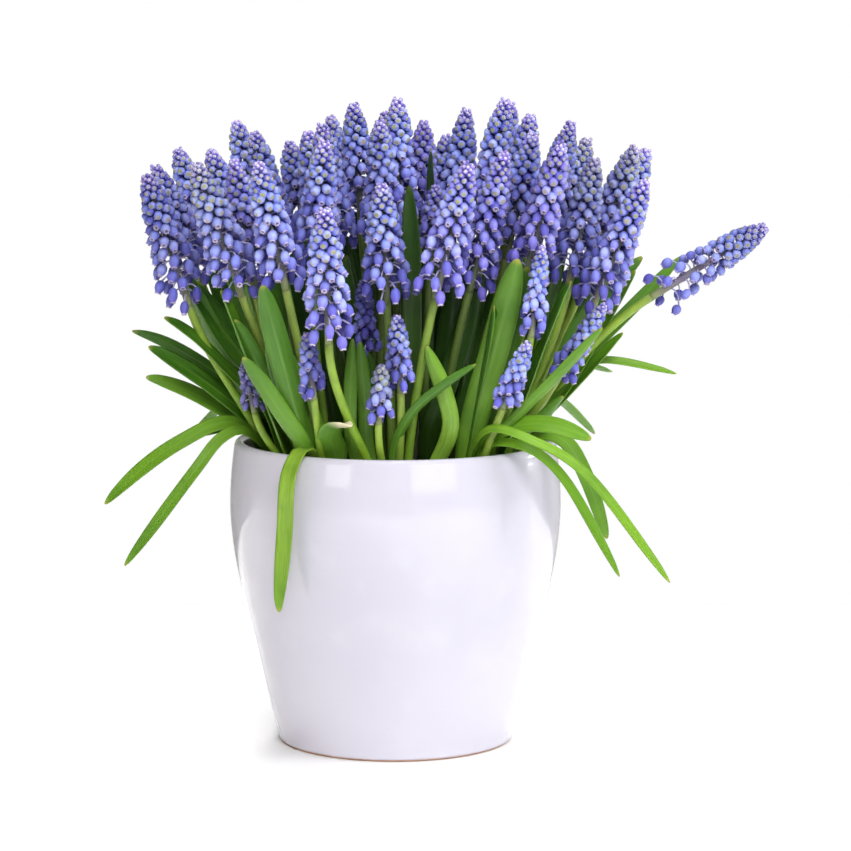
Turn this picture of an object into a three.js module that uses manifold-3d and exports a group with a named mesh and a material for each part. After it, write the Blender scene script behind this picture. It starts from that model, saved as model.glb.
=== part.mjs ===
// Grape hyacinths in a white glazed pot, in millimetres, +Z up.
// The origin is the centre of the pot's flat underside, and the front of the arrangement looks along -Y.
import * as THREE from "three";
import { mergeVertices } from "three/addons/utils/BufferGeometryUtils.js";
import Module from "manifold-3d";

const wasm = await Module();
wasm.setup();

// ---- Driving dimensions ------------------------------------------------------------------------

const GAP = 0.3; // clearance between pieces that rest on each other

// The pot's outer wall from the foot to below the lip, as [radius, height].
const POT_WALL = [
  [49.4, 1.2],
  [53.7, 16],
  [58.8, 38],
  [63.9, 60],
  [68.0, 79],
  [69.8, 95],
  [69.9, 106],
  [69.2, 117],
  [68.2, 125.5],
];
const POT_LIP = [
  [67.2, 128.6],
  [65.2, 128.6],
];
const FOOT_RADIUS = 48.4; // flat underside, inside the worn edge of the foot
const WALL_THICKNESS = 4.6;
const FLOOR_THICKNESS = 7;
const FLOOR_CORNER = 4; // how far the flat floor ends inside the wall
const POT_SIDES = 24;
const INNER_POINTS = [1, 3, 4, 6, 8]; // the outer wall's points that the inner wall follows

const SOIL_LEVEL = 108;

// A bulb sits in a round hole of the soil with its neck just clear of the surface.
const BULB_PROFILE = [
  [7, 84],
  [11.2, 94],
  [10.4, 109.5],
];
const BULB_BASE = 82.5;
const BULB_TOP = 109.5; // flat, where the stems and leaves come out
const CROWN_RADIUS = 6.6; // they start within this distance of the bulb's middle
const CROWN_SHARE = 0.55; // and keep this share of their distance from it in the fan
const CROWN_DEPTH = 1.5; // sunk this far into the bulb
const BULB_SIDES = 6;
const HOLE_RADIUS = 12.4;
const HOLE_SIDES = 6;

const OUTER_BULBS = 8;
const OUTER_BULB_CIRCLE = 46;
const INNER_BULBS = 3;
const INNER_BULB_CIRCLE = 18;

// Stems and leaves spread like a fan: a point above the soil keeps its place in the plan, scaled by spread().
const FAN_APEX = -17; // height at which the lines of the fan would meet

const STEM_RADIUS = 1.9;
const STEM_SIDES = 4;
const STEM_STEPS = 2;
const STEM_SET_OUT = 0.12; // share of the way out that a stem has gone after its first upright stretch
const STEM_UPRIGHT = 0.3; // that stretch as a share of the stem
const STEM_IN_LINE = 0.35; // share of the stem below a head that runs in line with it

const HEAD_SIDES = 5; // florets in each whorl of a flower head
const WHORL_SPACING = 8.1; // mean distance from whorl to whorl
const WHORL_CROWDING = 0.25; // how much closer whorls are at the tip than low down
const TIP_BUD_SHARE = 0.05; // the length above the last whorl, as a share of the head's
const HEAD_STUB = 3; // bare stalk below the lowest whorl
const HEAD_STUB_RADIUS = 1.7;
const HEAD_TAPER = 0.72; // how much slimmer a head is at its tip than at its widest
const HEAD_TAPER_POWER = 1.4; // above 1, it narrows more towards the tip than low down
const HEAD_ROUND_FROM = 0.8; // share of its length where it starts to round off
const HEAD_ROUND_REACH = 0.26;
const HANGING_WHORLS = 1; // whorls of open florets that hang free of the head's core
const CORE_SHARE = 0.55; // the core's radius as a share of the head's

// A hanging floret's sizes, as shares of its head's radius.
const FLORET_HALF_WIDTH = 0.25;
const FLORET_DROP = 0.42;
const FLORET_SHOULDER = 0.62; // how far out its widest part is
const FLORET_SIDE_DROP = 0.16; // how far its widest part's sides lie below its whorl
const FLORET_TOP_RISE = 0.12; // and its top above
const FLORET_TOP_REACH = 0.8; // how far out its top is
const BUD_DROOP = 0.3; // how far the lowest close buds point down
const BUDS_LEVEL_AT = 2 / 3; // share of the whorls where the buds point neither down nor up

// Shares of a leaf's length where its section is set. A leaf that bends over the rim has more of them there.
const LEAF_SECTIONS = [0, 0.25, 0.5, 0.74, 0.91];
const RIM_LEAF_SECTIONS = [0, 0.21, 0.3, 0.42, 0.66, 0.88];
const FILLING_SECTIONS = [0, 0.5, 0.88];
const LEAF_THICKNESS = 1.5;
const LEAF_CHANNEL = 0.13; // how far a leaf's edges stand above its midrib, as a share of its width
const LEAF_BASE_SHARE = 0.6; // a leaf's width at its bulb as a share of its greatest
const LEAF_WIDEST = 0.5; // where along it that is reached, and where it starts to narrow to the tip
const LEAF_NARROWS = 0.72;
const LEAF_ARCH = 0.35; // how far an arching leaf rises for each millimetre that it reaches outwards
const LEAF_TURN_OUT = 1.4; // above 1, a filling leaf first stands and then turns outwards

// Each flower head: its tip [x, y, z], its length and largest radius, and its lean in x and y for each
// millimetre of height where that isn't the fan's own.
const HEADS = [
  { tip: [-102, -30, 242], length: 58, radius: 12.7, lean: [-0.31, -0.1] },
  { tip: [-101, 3, 244], length: 52, radius: 11.7 },
  { tip: [-94, 38, 249], length: 48, radius: 11.7 },
  { tip: [-77, -5, 251], length: 52, radius: 12.2 },
  { tip: [-80, -54, 248], length: 58, radius: 13.2, lean: [-0.33, -0.15] },
  { tip: [-66, -31, 248], length: 56, radius: 11.7, lean: [-0.16, -0.1] },
  { tip: [-70, 62, 260], length: 50, radius: 11.7 },
  { tip: [-60, 24, 257], length: 52, radius: 11.7 },
  { tip: [-54, -68, 249], length: 54, radius: 12.2, lean: [-0.2, -0.2] },
  { tip: [-46, 46, 252], length: 46, radius: 11.7 },
  { tip: [-37, 10, 258], length: 48, radius: 11.7 },
  { tip: [-30, -20, 262], length: 54, radius: 12.2 },
  { tip: [-29, 74, 262], length: 50, radius: 11.7 },
  { tip: [-28, -52, 257], length: 54, radius: 12.2, lean: [0.08, -0.12] },
  { tip: [-18, 30, 269], length: 52, radius: 11.7 },
  { tip: [-6, -28, 264], length: 52, radius: 11.7 },
  { tip: [-5, 56, 264], length: 48, radius: 11.7 },
  { tip: [1, 5, 272], length: 56, radius: 12.2 },
  { tip: [12, 34, 261], length: 44, radius: 11.2 },
  { tip: [-5, -60, 240], length: 50, radius: 12.7, lean: [-0.04, -0.2] },
  { tip: [-27, -86, 232], length: 56, radius: 12.7, lean: [-0.02, -0.2] },
  { tip: [17, -36, 238], length: 30, radius: 9 },
  { tip: [1, -60, 187], length: 32, radius: 8.5, lean: [-0.05, -0.12] },
  { tip: [-5, -68, 168], length: 25, radius: 7.5, lean: [0.05, -0.2] },
  { tip: [-35, -70, 181], length: 28, radius: 7.5, lean: [-0.1, -0.2] },
  { tip: [-62, -38, 166], length: 22, radius: 6.5, lean: [-0.2, -0.1] },
  { tip: [-13, -42, 200], length: 33, radius: 7.5 },
  { tip: [30, 14, 267], length: 56, radius: 11.7 },
  { tip: [46, -4, 272], length: 58, radius: 11.7, lean: [0.18, -0.02] },
  { tip: [50, 62, 268], length: 50, radius: 11.7 },
  { tip: [30, -70, 249], length: 58, radius: 12.7, lean: [0.24, -0.2] },
  { tip: [45, -47, 252], length: 60, radius: 12.2, lean: [0.25, -0.16] },
  { tip: [57, -25, 259], length: 54, radius: 11.7 },
  { tip: [58, 34, 264], length: 50, radius: 11.7 },
  { tip: [59, 88, 257], length: 48, radius: 11.7 },
  { tip: [74, 6, 262], length: 58, radius: 11.7 },
  { tip: [68, -48, 256], length: 59, radius: 12.2, lean: [0.26, -0.18] },
  { tip: [83, 50, 253], length: 48, radius: 11.7 },
  { tip: [83, -17, 248], length: 55, radius: 12.2, lean: [0.2, -0.08] },
  { tip: [101, 4, 252], length: 58, radius: 12.2 },
  { tip: [108, 38, 249], length: 48, radius: 11.7 },
  { tip: [103, -32, 240], length: 60, radius: 12.2 },
  { tip: [154, -22, 220], length: 56, radius: 12.2, lean: [1.6, -0.1] },
  { tip: [60, -56, 215], length: 38, radius: 7.5, lean: [0.12, -0.1] },
  { tip: [54, -68, 177], length: 32, radius: 8, lean: [0.35, -0.4] },
  { tip: [86, -44, 190], length: 38, radius: 8, lean: [0.6, -0.2] },
  { tip: [22, 60, 254], length: 46, radius: 11.7 },
];

// The leaves that make the arrangement's outline: points from above the bulb to the tip, the greatest
// width, and how far the blade is rolled about its own length, in degrees.
const LEAVES = [
  // Left side.
  {
    width: 6.5,
    roll: -55,
    overRim: true,
    points: [[-58, -10, 130], [-70, -13, 137], [-90, -19, 129], [-106, -22, 118], [-121, -24, 104]],
  },
  {
    width: 5,
    roll: -55,
    overRim: true,
    points: [[-57, -15, 129], [-65, -18, 134.5], [-73, -22, 131], [-82, -28, 120], [-112, -36, 80]],
  },
  { width: 4.5, roll: -40, points: [[-57, -4, 129], [-65, -4.5, 134.5], [-81, -8, 131]] },
  { width: 7.5, roll: -50, points: [[-58, -2, 132], [-73, -3, 141], [-88, -3, 149], [-105, -3, 155]] },
  { width: 8, roll: -60, points: [[-58, -7, 134], [-75, -10, 150], [-90, -12, 161], [-103, -13, 169]] },
  { width: 6, roll: -50, points: [[-60, 6, 142], [-77, 6, 156], [-98, 10, 168], [-112, 12, 173]] },
  { width: 8, roll: -50, points: [[-56, -18, 146], [-68, -20, 158], [-82, -26, 173], [-95, -30, 183]] },
  { width: 12, roll: -65, points: [[-52, -10, 150], [-66, -11, 167], [-77, -12, 183], [-86, -13, 196]] },
  { width: 10, roll: -65, points: [[-54, 8, 146], [-64, 10, 156], [-72, 9, 166], [-80, 8, 177]] },
  // Front left.
  { width: 8, roll: 45, points: [[-42, -40, 138], [-50, -43, 154], [-57, -47, 168], [-65, -50, 184]] },
  { width: 9.5, roll: 40, points: [[-36, -46, 132], [-42, -52, 151], [-47, -56, 167], [-50, -60, 184]] },
  { width: 10, roll: 40, points: [[-36, -28, 146], [-44, -30, 165], [-51, -30, 180], [-57, -30, 190]] },
  { width: 7.5, roll: 40, points: [[-37, -49, 132], [-43, -54, 142], [-51, -58, 155], [-61, -62, 170]] },
  { width: 3.5, roll: 40, points: [[-30, -50, 138], [-35, -53, 155], [-43, -57, 173]] },
  {
    width: 7.5,
    overRim: true,
    points: [[-33, -47, 126], [-37, -55, 131.2], [-42, -62, 123], [-44, -61, 99], [-47, -60, 65]],
  },
  // Front.
  { width: 10.5, points: [[-24, -48, 127], [-26, -58, 137], [-23, -64, 142], [-17, -69, 143]] },
  { width: 7, roll: -45, points: [[18, -47, 126], [23, -54, 141], [20, -57, 156], [13, -58, 174]] },
  { width: 4, roll: -50, points: [[0, -50, 131], [8, -60, 148], [20, -66, 159], [33, -69, 168]] },
  { width: 5.5, roll: 80, points: [[-17, -46, 130], [-18, -49, 151], [-17, -48, 176]] },
  { width: 6, roll: 75, points: [[-11, -44, 130], [-12, -47, 151], [-14, -50, 175]] },
  { width: 5.5, roll: 100, points: [[-7, -36, 130], [-8, -40, 150], [-11, -42, 170]] },
  // Tall ones between the flowers.
  { width: 8, roll: 50, points: [[4, -34, 132], [7, -38, 170], [7, -41, 205], [6, -42, 238]] },
  { width: 6, roll: -60, points: [[13, -8, 134], [15, -7, 175], [16, -5, 215], [15, -5, 250]] },
  { width: 6, roll: -20, points: [[12, -14, 134], [13, -16, 165], [14, -19, 198], [13, -20, 228]] },
  // Behind the flowers.
  { width: 9, roll: -85, points: [[-13, 12, 134], [-15, 14, 165], [-18, 16, 190], [-21, 18, 213]] },
  { width: 9, roll: -50, points: [[-30, 6, 134], [-34, 8, 160], [-40, 10, 188], [-44, 12, 206]] },
  { width: 9, roll: 5, points: [[14, 6, 134], [16, 8, 155], [18, 10, 178], [20, 12, 205]] },
  { width: 9, roll: -50, points: [[-52, 12, 134], [-62, 15, 160], [-73, 18, 185], [-81, 20, 203]] },
  { width: 9, roll: 45, points: [[52, 14, 134], [61, 18, 160], [72, 22, 185], [80, 25, 205]] },
  // Front right.
  { width: 12, roll: -41, points: [[30, -38, 128], [35, -43, 150], [41, -46, 171], [50, -53, 209]] },
  { width: 9, roll: -45, points: [[14, -28, 134], [21, -30, 153], [28, -28, 175], [34, -26, 196]] },
  { width: 9, roll: -70, points: [[26, -20, 134], [31, -18, 151], [37, -16, 175], [42, -14, 194]] },
  { width: 4.5, roll: -60, points: [[36, -40, 128], [50, -52, 145], [67, -58, 163], [84, -62, 182]] },
  { width: 5, roll: -60, points: [[48, -33, 130], [60, -40, 142], [69, -44, 152]] },
  { width: 8, roll: 50, points: [[36, -38, 130], [50, -50, 140], [65, -56, 141], [80, -58, 136]] },
  {
    width: 4.5,
    roll: 40,
    overRim: true,
    points: [[32, -44, 130], [40, -57, 140], [56, -64, 136], [75, -66, 125], [112, -64, 78]],
  },
  {
    width: 4.5,
    roll: 40,
    overRim: true,
    points: [[37, -41, 129], [46, -55, 134], [57, -60, 131], [68, -60, 121], [92, -56, 79]],
  },
  // Right side.
  {
    width: 6.5,
    roll: 40,
    overRim: true,
    points: [[56, -22, 129], [64, -31, 134], [71, -34, 131], [79, -36, 117], [88, -34, 91]],
  },
  { width: 8, roll: 70, points: [[56, 3, 152], [63, 6, 168], [80, 12, 182], [105, 18, 204]] },
  { width: 6.5, roll: 60, points: [[62, -12, 138], [74, -13, 156], [88, -14, 181], [100, -14, 201]] },
  { width: 6, roll: 60, points: [[66, 13, 145], [80, 17, 161], [104, 27, 184], [123, 34, 203]] },
  { width: 5, roll: 30, points: [[60, -2, 142], [72, -4, 156], [86, -6, 162], [118, -9, 157]] },
  { width: 6, roll: 50, points: [[56, -8, 133], [66, -11, 143], [78, -13, 156], [95, -15, 175]] },
];

// Leaves that fill the rest of the pot and stand close round their bulb. Every row gives where the leaf
// starts, turned round the bulb from the plant's own direction in degrees, how far its tip is from the
// line of the fan through the bulb, the height of its tip, its width, and for the outer plants which of
// them have it, counted round from the right side.
const OUTER_ROSETTE = [
  { aside: 60, reach: 9, height: 200, width: 10, plants: [0, 1, 2, 3, 4, 5, 7] },
  { aside: -60, reach: 9, height: 196, width: 10, plants: [0, 1, 2, 3, 4, 5] },
  { aside: 150, reach: 8, height: 205, width: 9.5, plants: [0, 1, 2, 3, 4, 5, 7] },
  { aside: -140, reach: 8, height: 190, width: 10, plants: [1, 2, 3, 7] },
  { aside: 180, reach: 3, height: 212, width: 11, plants: [1, 2, 3] },
];
const INNER_ROSETTE = [
  { aside: 20, reach: 7, height: 214, width: 11 },
  { aside: 110, reach: 6, height: 208, width: 10 },
  { aside: 200, reach: 7, height: 214, width: 11 },
  { aside: 290, reach: 6, height: 204, width: 10 },
];
const ROSETTE_BEND = 1.5; // above 1, a rosette's leaf first stands and then leans away from its bulb

// Leaves of the plants at the back that arch outwards over the rim: the turn from the plant's own
// direction in degrees, how far the tip is from the pot's axis, the height of the tip and the width.
const BACK_PLANTS = [1, 2, 3];
const ARCHING_LEAVES = [
  { aside: -13, reach: 112, height: 150, width: 8 },
  { aside: 1, reach: 128, height: 118, width: 7 },
  { aside: 13, reach: 102, height: 170, width: 9 },
];

const COLOURS = {
  pot: { color: 0xf1eef7, roughness: 0.12, metalness: 0 },
  soil: { color: 0x2e2119, roughness: 0.95, metalness: 0 },
  plant: { color: 0x4f9a2c, roughness: 0.5, metalness: 0 },
  head: { color: 0x5d68c9, roughness: 0.55, metalness: 0 },
};

// ---- Geometry helpers --------------------------------------------------------------------------

const turn = (degrees) => THREE.MathUtils.degToRad(degrees);
const vector = ([x, y, z]) => new THREE.Vector3(x, y, z);
const inPlan = (radius, angle, z) =>
  new THREE.Vector3(radius * Math.cos(angle), radius * Math.sin(angle), z);

// How much wider the fan is at a height than at the soil.
const spread = (z) => (z - FAN_APEX) / (SOIL_LEVEL - FAN_APEX);

// A closed geometry with shared vertices and nothing but positions.
function bare(geometry) {
  const copy = geometry.clone();
  copy.deleteAttribute("normal");
  copy.deleteAttribute("uv");
  return mergeVertices(copy, 1e-4);
}

function meshed(points, triangles) {
  const geometry = new THREE.BufferGeometry();
  geometry.setAttribute(
    "position",
    new THREE.Float32BufferAttribute(points.flatMap((p) => [p.x, p.y, p.z]), 3),
  );
  geometry.setIndex(triangles.flat());
  return geometry;
}

function solid(geometry) {
  const merged = bare(geometry);
  return new wasm.Manifold(
    new wasm.Mesh({
      numProp: 3,
      vertProperties: new Float32Array(merged.attributes.position.array),
      triVerts: new Uint32Array(merged.index.array),
    }),
  );
}

function geometryOf(manifold) {
  const mesh = manifold.getMesh();
  const geometry = new THREE.BufferGeometry();
  const positions = new Float32Array((mesh.vertProperties.length / mesh.numProp) * 3);
  for (let i = 0; i < positions.length / 3; i++) {
    positions.set(mesh.vertProperties.subarray(i * mesh.numProp, i * mesh.numProp + 3), 3 * i);
  }
  geometry.setAttribute("position", new THREE.BufferAttribute(positions, 3));
  geometry.setIndex(new THREE.BufferAttribute(mesh.triVerts, 1));
  return geometry;
}

// A profile of [radius, height] turned round the Z axis.
function turned(profile, sides) {
  const points = profile.map(([radius, height]) => new THREE.Vector2(radius, height));
  return new THREE.LatheGeometry(points, sides).rotateX(Math.PI / 2);
}

// ---- Pot and soil ------------------------------------------------------------------------------

const innerWall = INNER_POINTS.map((i) => [POT_WALL[i][0] - WALL_THICKNESS, POT_WALL[i][1]]);

function potGeometry() {
  const floorRadius = innerWall[0][0] - FLOOR_CORNER;
  return turned(
    [
      [0, 0],
      [FOOT_RADIUS, 0],
      ...POT_WALL,
      ...POT_LIP,
      ...[...innerWall].reverse(),
      [floorRadius, FLOOR_THICKNESS],
      [0, FLOOR_THICKNESS],
    ],
    POT_SIDES,
  );
}

// The radius of the pot's inside at a height, on the straight lines between the wall's own points.
function innerRadius(height) {
  const above = innerWall.findIndex(([, z]) => z >= height);
  const [r0, z0] = innerWall[above - 1];
  const [r1, z1] = innerWall[above];
  return r0 + ((r1 - r0) * (height - z0)) / (z1 - z0);
}

function soilGeometry(bulbs) {
  const floorRadius = innerWall[0][0] - FLOOR_CORNER;
  const wall = innerWall.filter(([, z]) => z < SOIL_LEVEL).map(([r, z]) => [r - GAP, z]);
  const body = turned(
    [
      [0, FLOOR_THICKNESS + GAP],
      [floorRadius - GAP, FLOOR_THICKNESS + GAP],
      ...wall,
      [innerRadius(SOIL_LEVEL) - GAP, SOIL_LEVEL],
      [0, SOIL_LEVEL],
    ],
    POT_SIDES,
  );
  let soil = solid(body);
  for (const bulb of bulbs) {
    const depth = 2 * (SOIL_LEVEL - BULB_BASE + GAP);
    const hole = new THREE.CylinderGeometry(HOLE_RADIUS, HOLE_RADIUS, depth, HOLE_SIDES);
    hole.rotateX(Math.PI / 2);
    hole.translate(bulb.x, bulb.y, BULB_BASE - GAP + depth / 2);
    soil = soil.subtract(solid(hole));
  }
  return geometryOf(soil);
}

// ---- Bulbs, stems and leaves -------------------------------------------------------------------

function ringOfBulbs(count, circle, firstAngle) {
  return Array.from({ length: count }, (_, i) => {
    const angle = firstAngle + (i * 2 * Math.PI) / count;
    return { angle, x: circle * Math.cos(angle), y: circle * Math.sin(angle) };
  });
}

const outerBulbs = ringOfBulbs(OUTER_BULBS, OUTER_BULB_CIRCLE, 0);
const innerBulbs = ringOfBulbs(INNER_BULBS, INNER_BULB_CIRCLE, turn(90));
const bulbs = [...outerBulbs, ...innerBulbs];

// Where a stem or leaf that passes through a point starts on its bulb: it keeps its place among the others.
function startOn(bulb, point) {
  const scale = spread(point.z);
  const offset = new THREE.Vector3(point.x / scale - bulb.x, point.y / scale - bulb.y, 0);
  offset.multiplyScalar(CROWN_SHARE).clampLength(0, CROWN_RADIUS);
  return new THREE.Vector3(bulb.x, bulb.y, BULB_TOP - CROWN_DEPTH).add(offset);
}

// The bulb whose part of the fan a point lies in.
function bulbUnder(point) {
  const scale = spread(point.z);
  const distance = (bulb) => Math.hypot(bulb.x - point.x / scale, bulb.y - point.y / scale);
  return bulbs.reduce((best, bulb) => (distance(bulb) < distance(best) ? bulb : best));
}

function bulbGeometry(bulb) {
  const profile = [[0, BULB_BASE], ...BULB_PROFILE, [0, BULB_TOP]];
  return turned(profile, BULB_SIDES).translate(bulb.x, bulb.y, 0);
}

// A head's place: the foot that stands on its stem, the direction of its axis and its tip.
function headAxis(head) {
  const tip = vector(head.tip);
  const rise = tip.z - FAN_APEX;
  const [leanX, leanY] = head.lean ?? [tip.x / rise, tip.y / rise];
  const direction = new THREE.Vector3(leanX, leanY, 1).normalize();
  const foot = tip.clone().addScaledVector(direction, -head.length);
  return { foot, tip, direction };
}

function stemGeometry(bulb, head) {
  const { foot, direction } = headAxis(head);
  const base = startOn(bulb, foot);
  const towards = foot.clone().sub(base);
  const end = foot.clone().addScaledVector(direction, -GAP);
  const length = end.distanceTo(base);
  const path = new THREE.CubicBezierCurve3(
    base,
    new THREE.Vector3(towards.x * STEM_SET_OUT, towards.y * STEM_SET_OUT, length * STEM_UPRIGHT).add(base),
    end.clone().addScaledVector(direction, -length * STEM_IN_LINE),
    end,
  );
  const outline = new THREE.Shape(
    Array.from({ length: STEM_SIDES }, (_, i) => {
      const angle = (i * 2 * Math.PI) / STEM_SIDES;
      return new THREE.Vector2(STEM_RADIUS * Math.cos(angle), STEM_RADIUS * Math.sin(angle));
    }),
  );
  return new THREE.ExtrudeGeometry(outline, {
    steps: STEM_STEPS,
    extrudePath: path,
    bevelEnabled: false,
  });
}

// A strap leaf's half width along its length, from 0 at the bulb to 1 at the tip.
function halfWidth(width, t) {
  const opening = Math.sin(Math.min(t / LEAF_WIDEST, 1) * (Math.PI / 2));
  const base = LEAF_BASE_SHARE + (1 - LEAF_BASE_SHARE) * opening;
  const narrowing = Math.max(0, (t - LEAF_NARROWS) / (1 - LEAF_NARROWS));
  return (width / 2) * base * Math.sqrt(1 - narrowing ** 2);
}

// A channelled blade: four points across, a keel below, both faces split along the same diagonals.
// Its width is square to its way out in the plan, rolled about its own length.
function leafGeometry(points, sections, { width, way, roll = 0 }) {
  const path = new THREE.CatmullRomCurve3(points, false, "centripetal");
  const across = inPlan(1, way + Math.PI / 2, 0);
  const vertices = [];
  for (const t of sections) {
    const centre = path.getPointAt(t);
    const along = path.getTangentAt(t);
    const side = across.clone().addScaledVector(along, -across.dot(along)).normalize();
    side.applyAxisAngle(along, turn(roll));
    const up = new THREE.Vector3().crossVectors(along, side);
    const half = halfWidth(width, t);
    const at = (x, y) => centre.clone().addScaledVector(side, x).addScaledVector(up, y);
    const lift = LEAF_CHANNEL * width;
    vertices.push(at(half, lift), at(0, LEAF_THICKNESS / 2), at(-half, lift), at(0, -LEAF_THICKNESS / 2));
  }
  vertices.push(path.getPointAt(1));
  const triangles = [[0, 2, 1], [0, 3, 2]];
  for (let section = 0; section < sections.length - 1; section++) {
    for (let i = 0; i < 4; i++) {
      const a = 4 * section + i;
      const b = 4 * section + ((i + 1) % 4);
      if (i < 2) triangles.push([a, b, b + 4], [a, b + 4, a + 4]);
      else triangles.push([a, b, a + 4], [b, b + 4, a + 4]);
    }
  }
  const last = 4 * (sections.length - 1);
  for (let i = 0; i < 4; i++) triangles.push([last + i, last + ((i + 1) % 4), last + 4]);
  return meshed(vertices, triangles);
}

function outlineLeaf(bulb, leaf) {
  const points = leaf.points.map(vector);
  const base = startOn(bulb, points[0]);
  const tip = points[points.length - 1];
  const way = Math.atan2(tip.y - bulb.y, tip.x - bulb.x);
  const sections = leaf.overRim ? RIM_LEAF_SECTIONS : LEAF_SECTIONS;
  return leafGeometry([base, ...points], sections, { width: leaf.width, way, roll: leaf.roll });
}

// A leaf that stands beside the line of the fan through its bulb.
function rosetteLeaf(bulb, { aside, reach, height, width }) {
  const way = bulb.angle + turn(aside);
  const foot = BULB_TOP - CROWN_DEPTH;
  const place = (t) => {
    const z = foot + (height - foot) * t;
    const away = inPlan(CROWN_RADIUS + (reach - CROWN_RADIUS) * t ** ROSETTE_BEND, way, 0);
    const scale = spread(z);
    return new THREE.Vector3((bulb.x + away.x) * scale, (bulb.y + away.y) * scale, z);
  };
  return leafGeometry([0, 0.35, 0.7, 1].map(place), FILLING_SECTIONS, { width, way });
}

// A leaf on an even arch from its bulb out over the rim.
function archingLeaf(bulb, { aside, reach, height, width }) {
  const way = bulb.angle + turn(aside);
  const start = Math.hypot(bulb.x, bulb.y) + CROWN_RADIUS / 2;
  const rise = height - SOIL_LEVEL;
  const arch = (reach - start) * LEAF_ARCH;
  const place = (t) => {
    const radius = start + (reach - start) * t ** LEAF_TURN_OUT;
    const angle = bulb.angle + (way - bulb.angle) * t;
    return inPlan(radius, angle, SOIL_LEVEL + rise * t + arch * 4 * t * (1 - t));
  };
  return leafGeometry([0, 0.3, 0.65, 1].map(place), LEAF_SECTIONS, { width, way });
}

// The outer skin of a plant: small pockets that leaves shut in where they cross are filled.
function filled(manifold) {
  return manifold.decompose().reduce((best, part) => (part.volume() > best.volume() ? part : best));
}

function plantGeometry(bulb) {
  let plant = solid(bulbGeometry(bulb));
  const grow = (geometry) => {
    plant = plant.add(solid(geometry));
  };
  for (const head of HEADS) {
    if (bulbUnder(headAxis(head).foot) === bulb) grow(stemGeometry(bulb, head));
  }
  for (const leaf of LEAVES) {
    if (bulbUnder(vector(leaf.points[0])) === bulb) grow(outlineLeaf(bulb, leaf));
  }
  const index = outerBulbs.indexOf(bulb);
  const rosette = index < 0 ? INNER_ROSETTE : OUTER_ROSETTE.filter((leaf) => leaf.plants.includes(index));
  for (const leaf of rosette) grow(rosetteLeaf(bulb, leaf));
  if (BACK_PLANTS.includes(index)) {
    for (const leaf of ARCHING_LEAVES) grow(archingLeaf(bulb, leaf));
  }
  return geometryOf(filled(plant));
}

// ---- Flower heads ------------------------------------------------------------------------------

// A head's radius at a share of its length: full low down, slimmer upwards and round at the tip.
function headRadius(radius, share) {
  const taper = 1 - HEAD_TAPER * share ** HEAD_TAPER_POWER;
  const rounding = Math.max(0, (share - HEAD_ROUND_FROM) / HEAD_ROUND_REACH);
  return radius * taper * Math.sqrt(1 - rounding ** 2);
}

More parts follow.
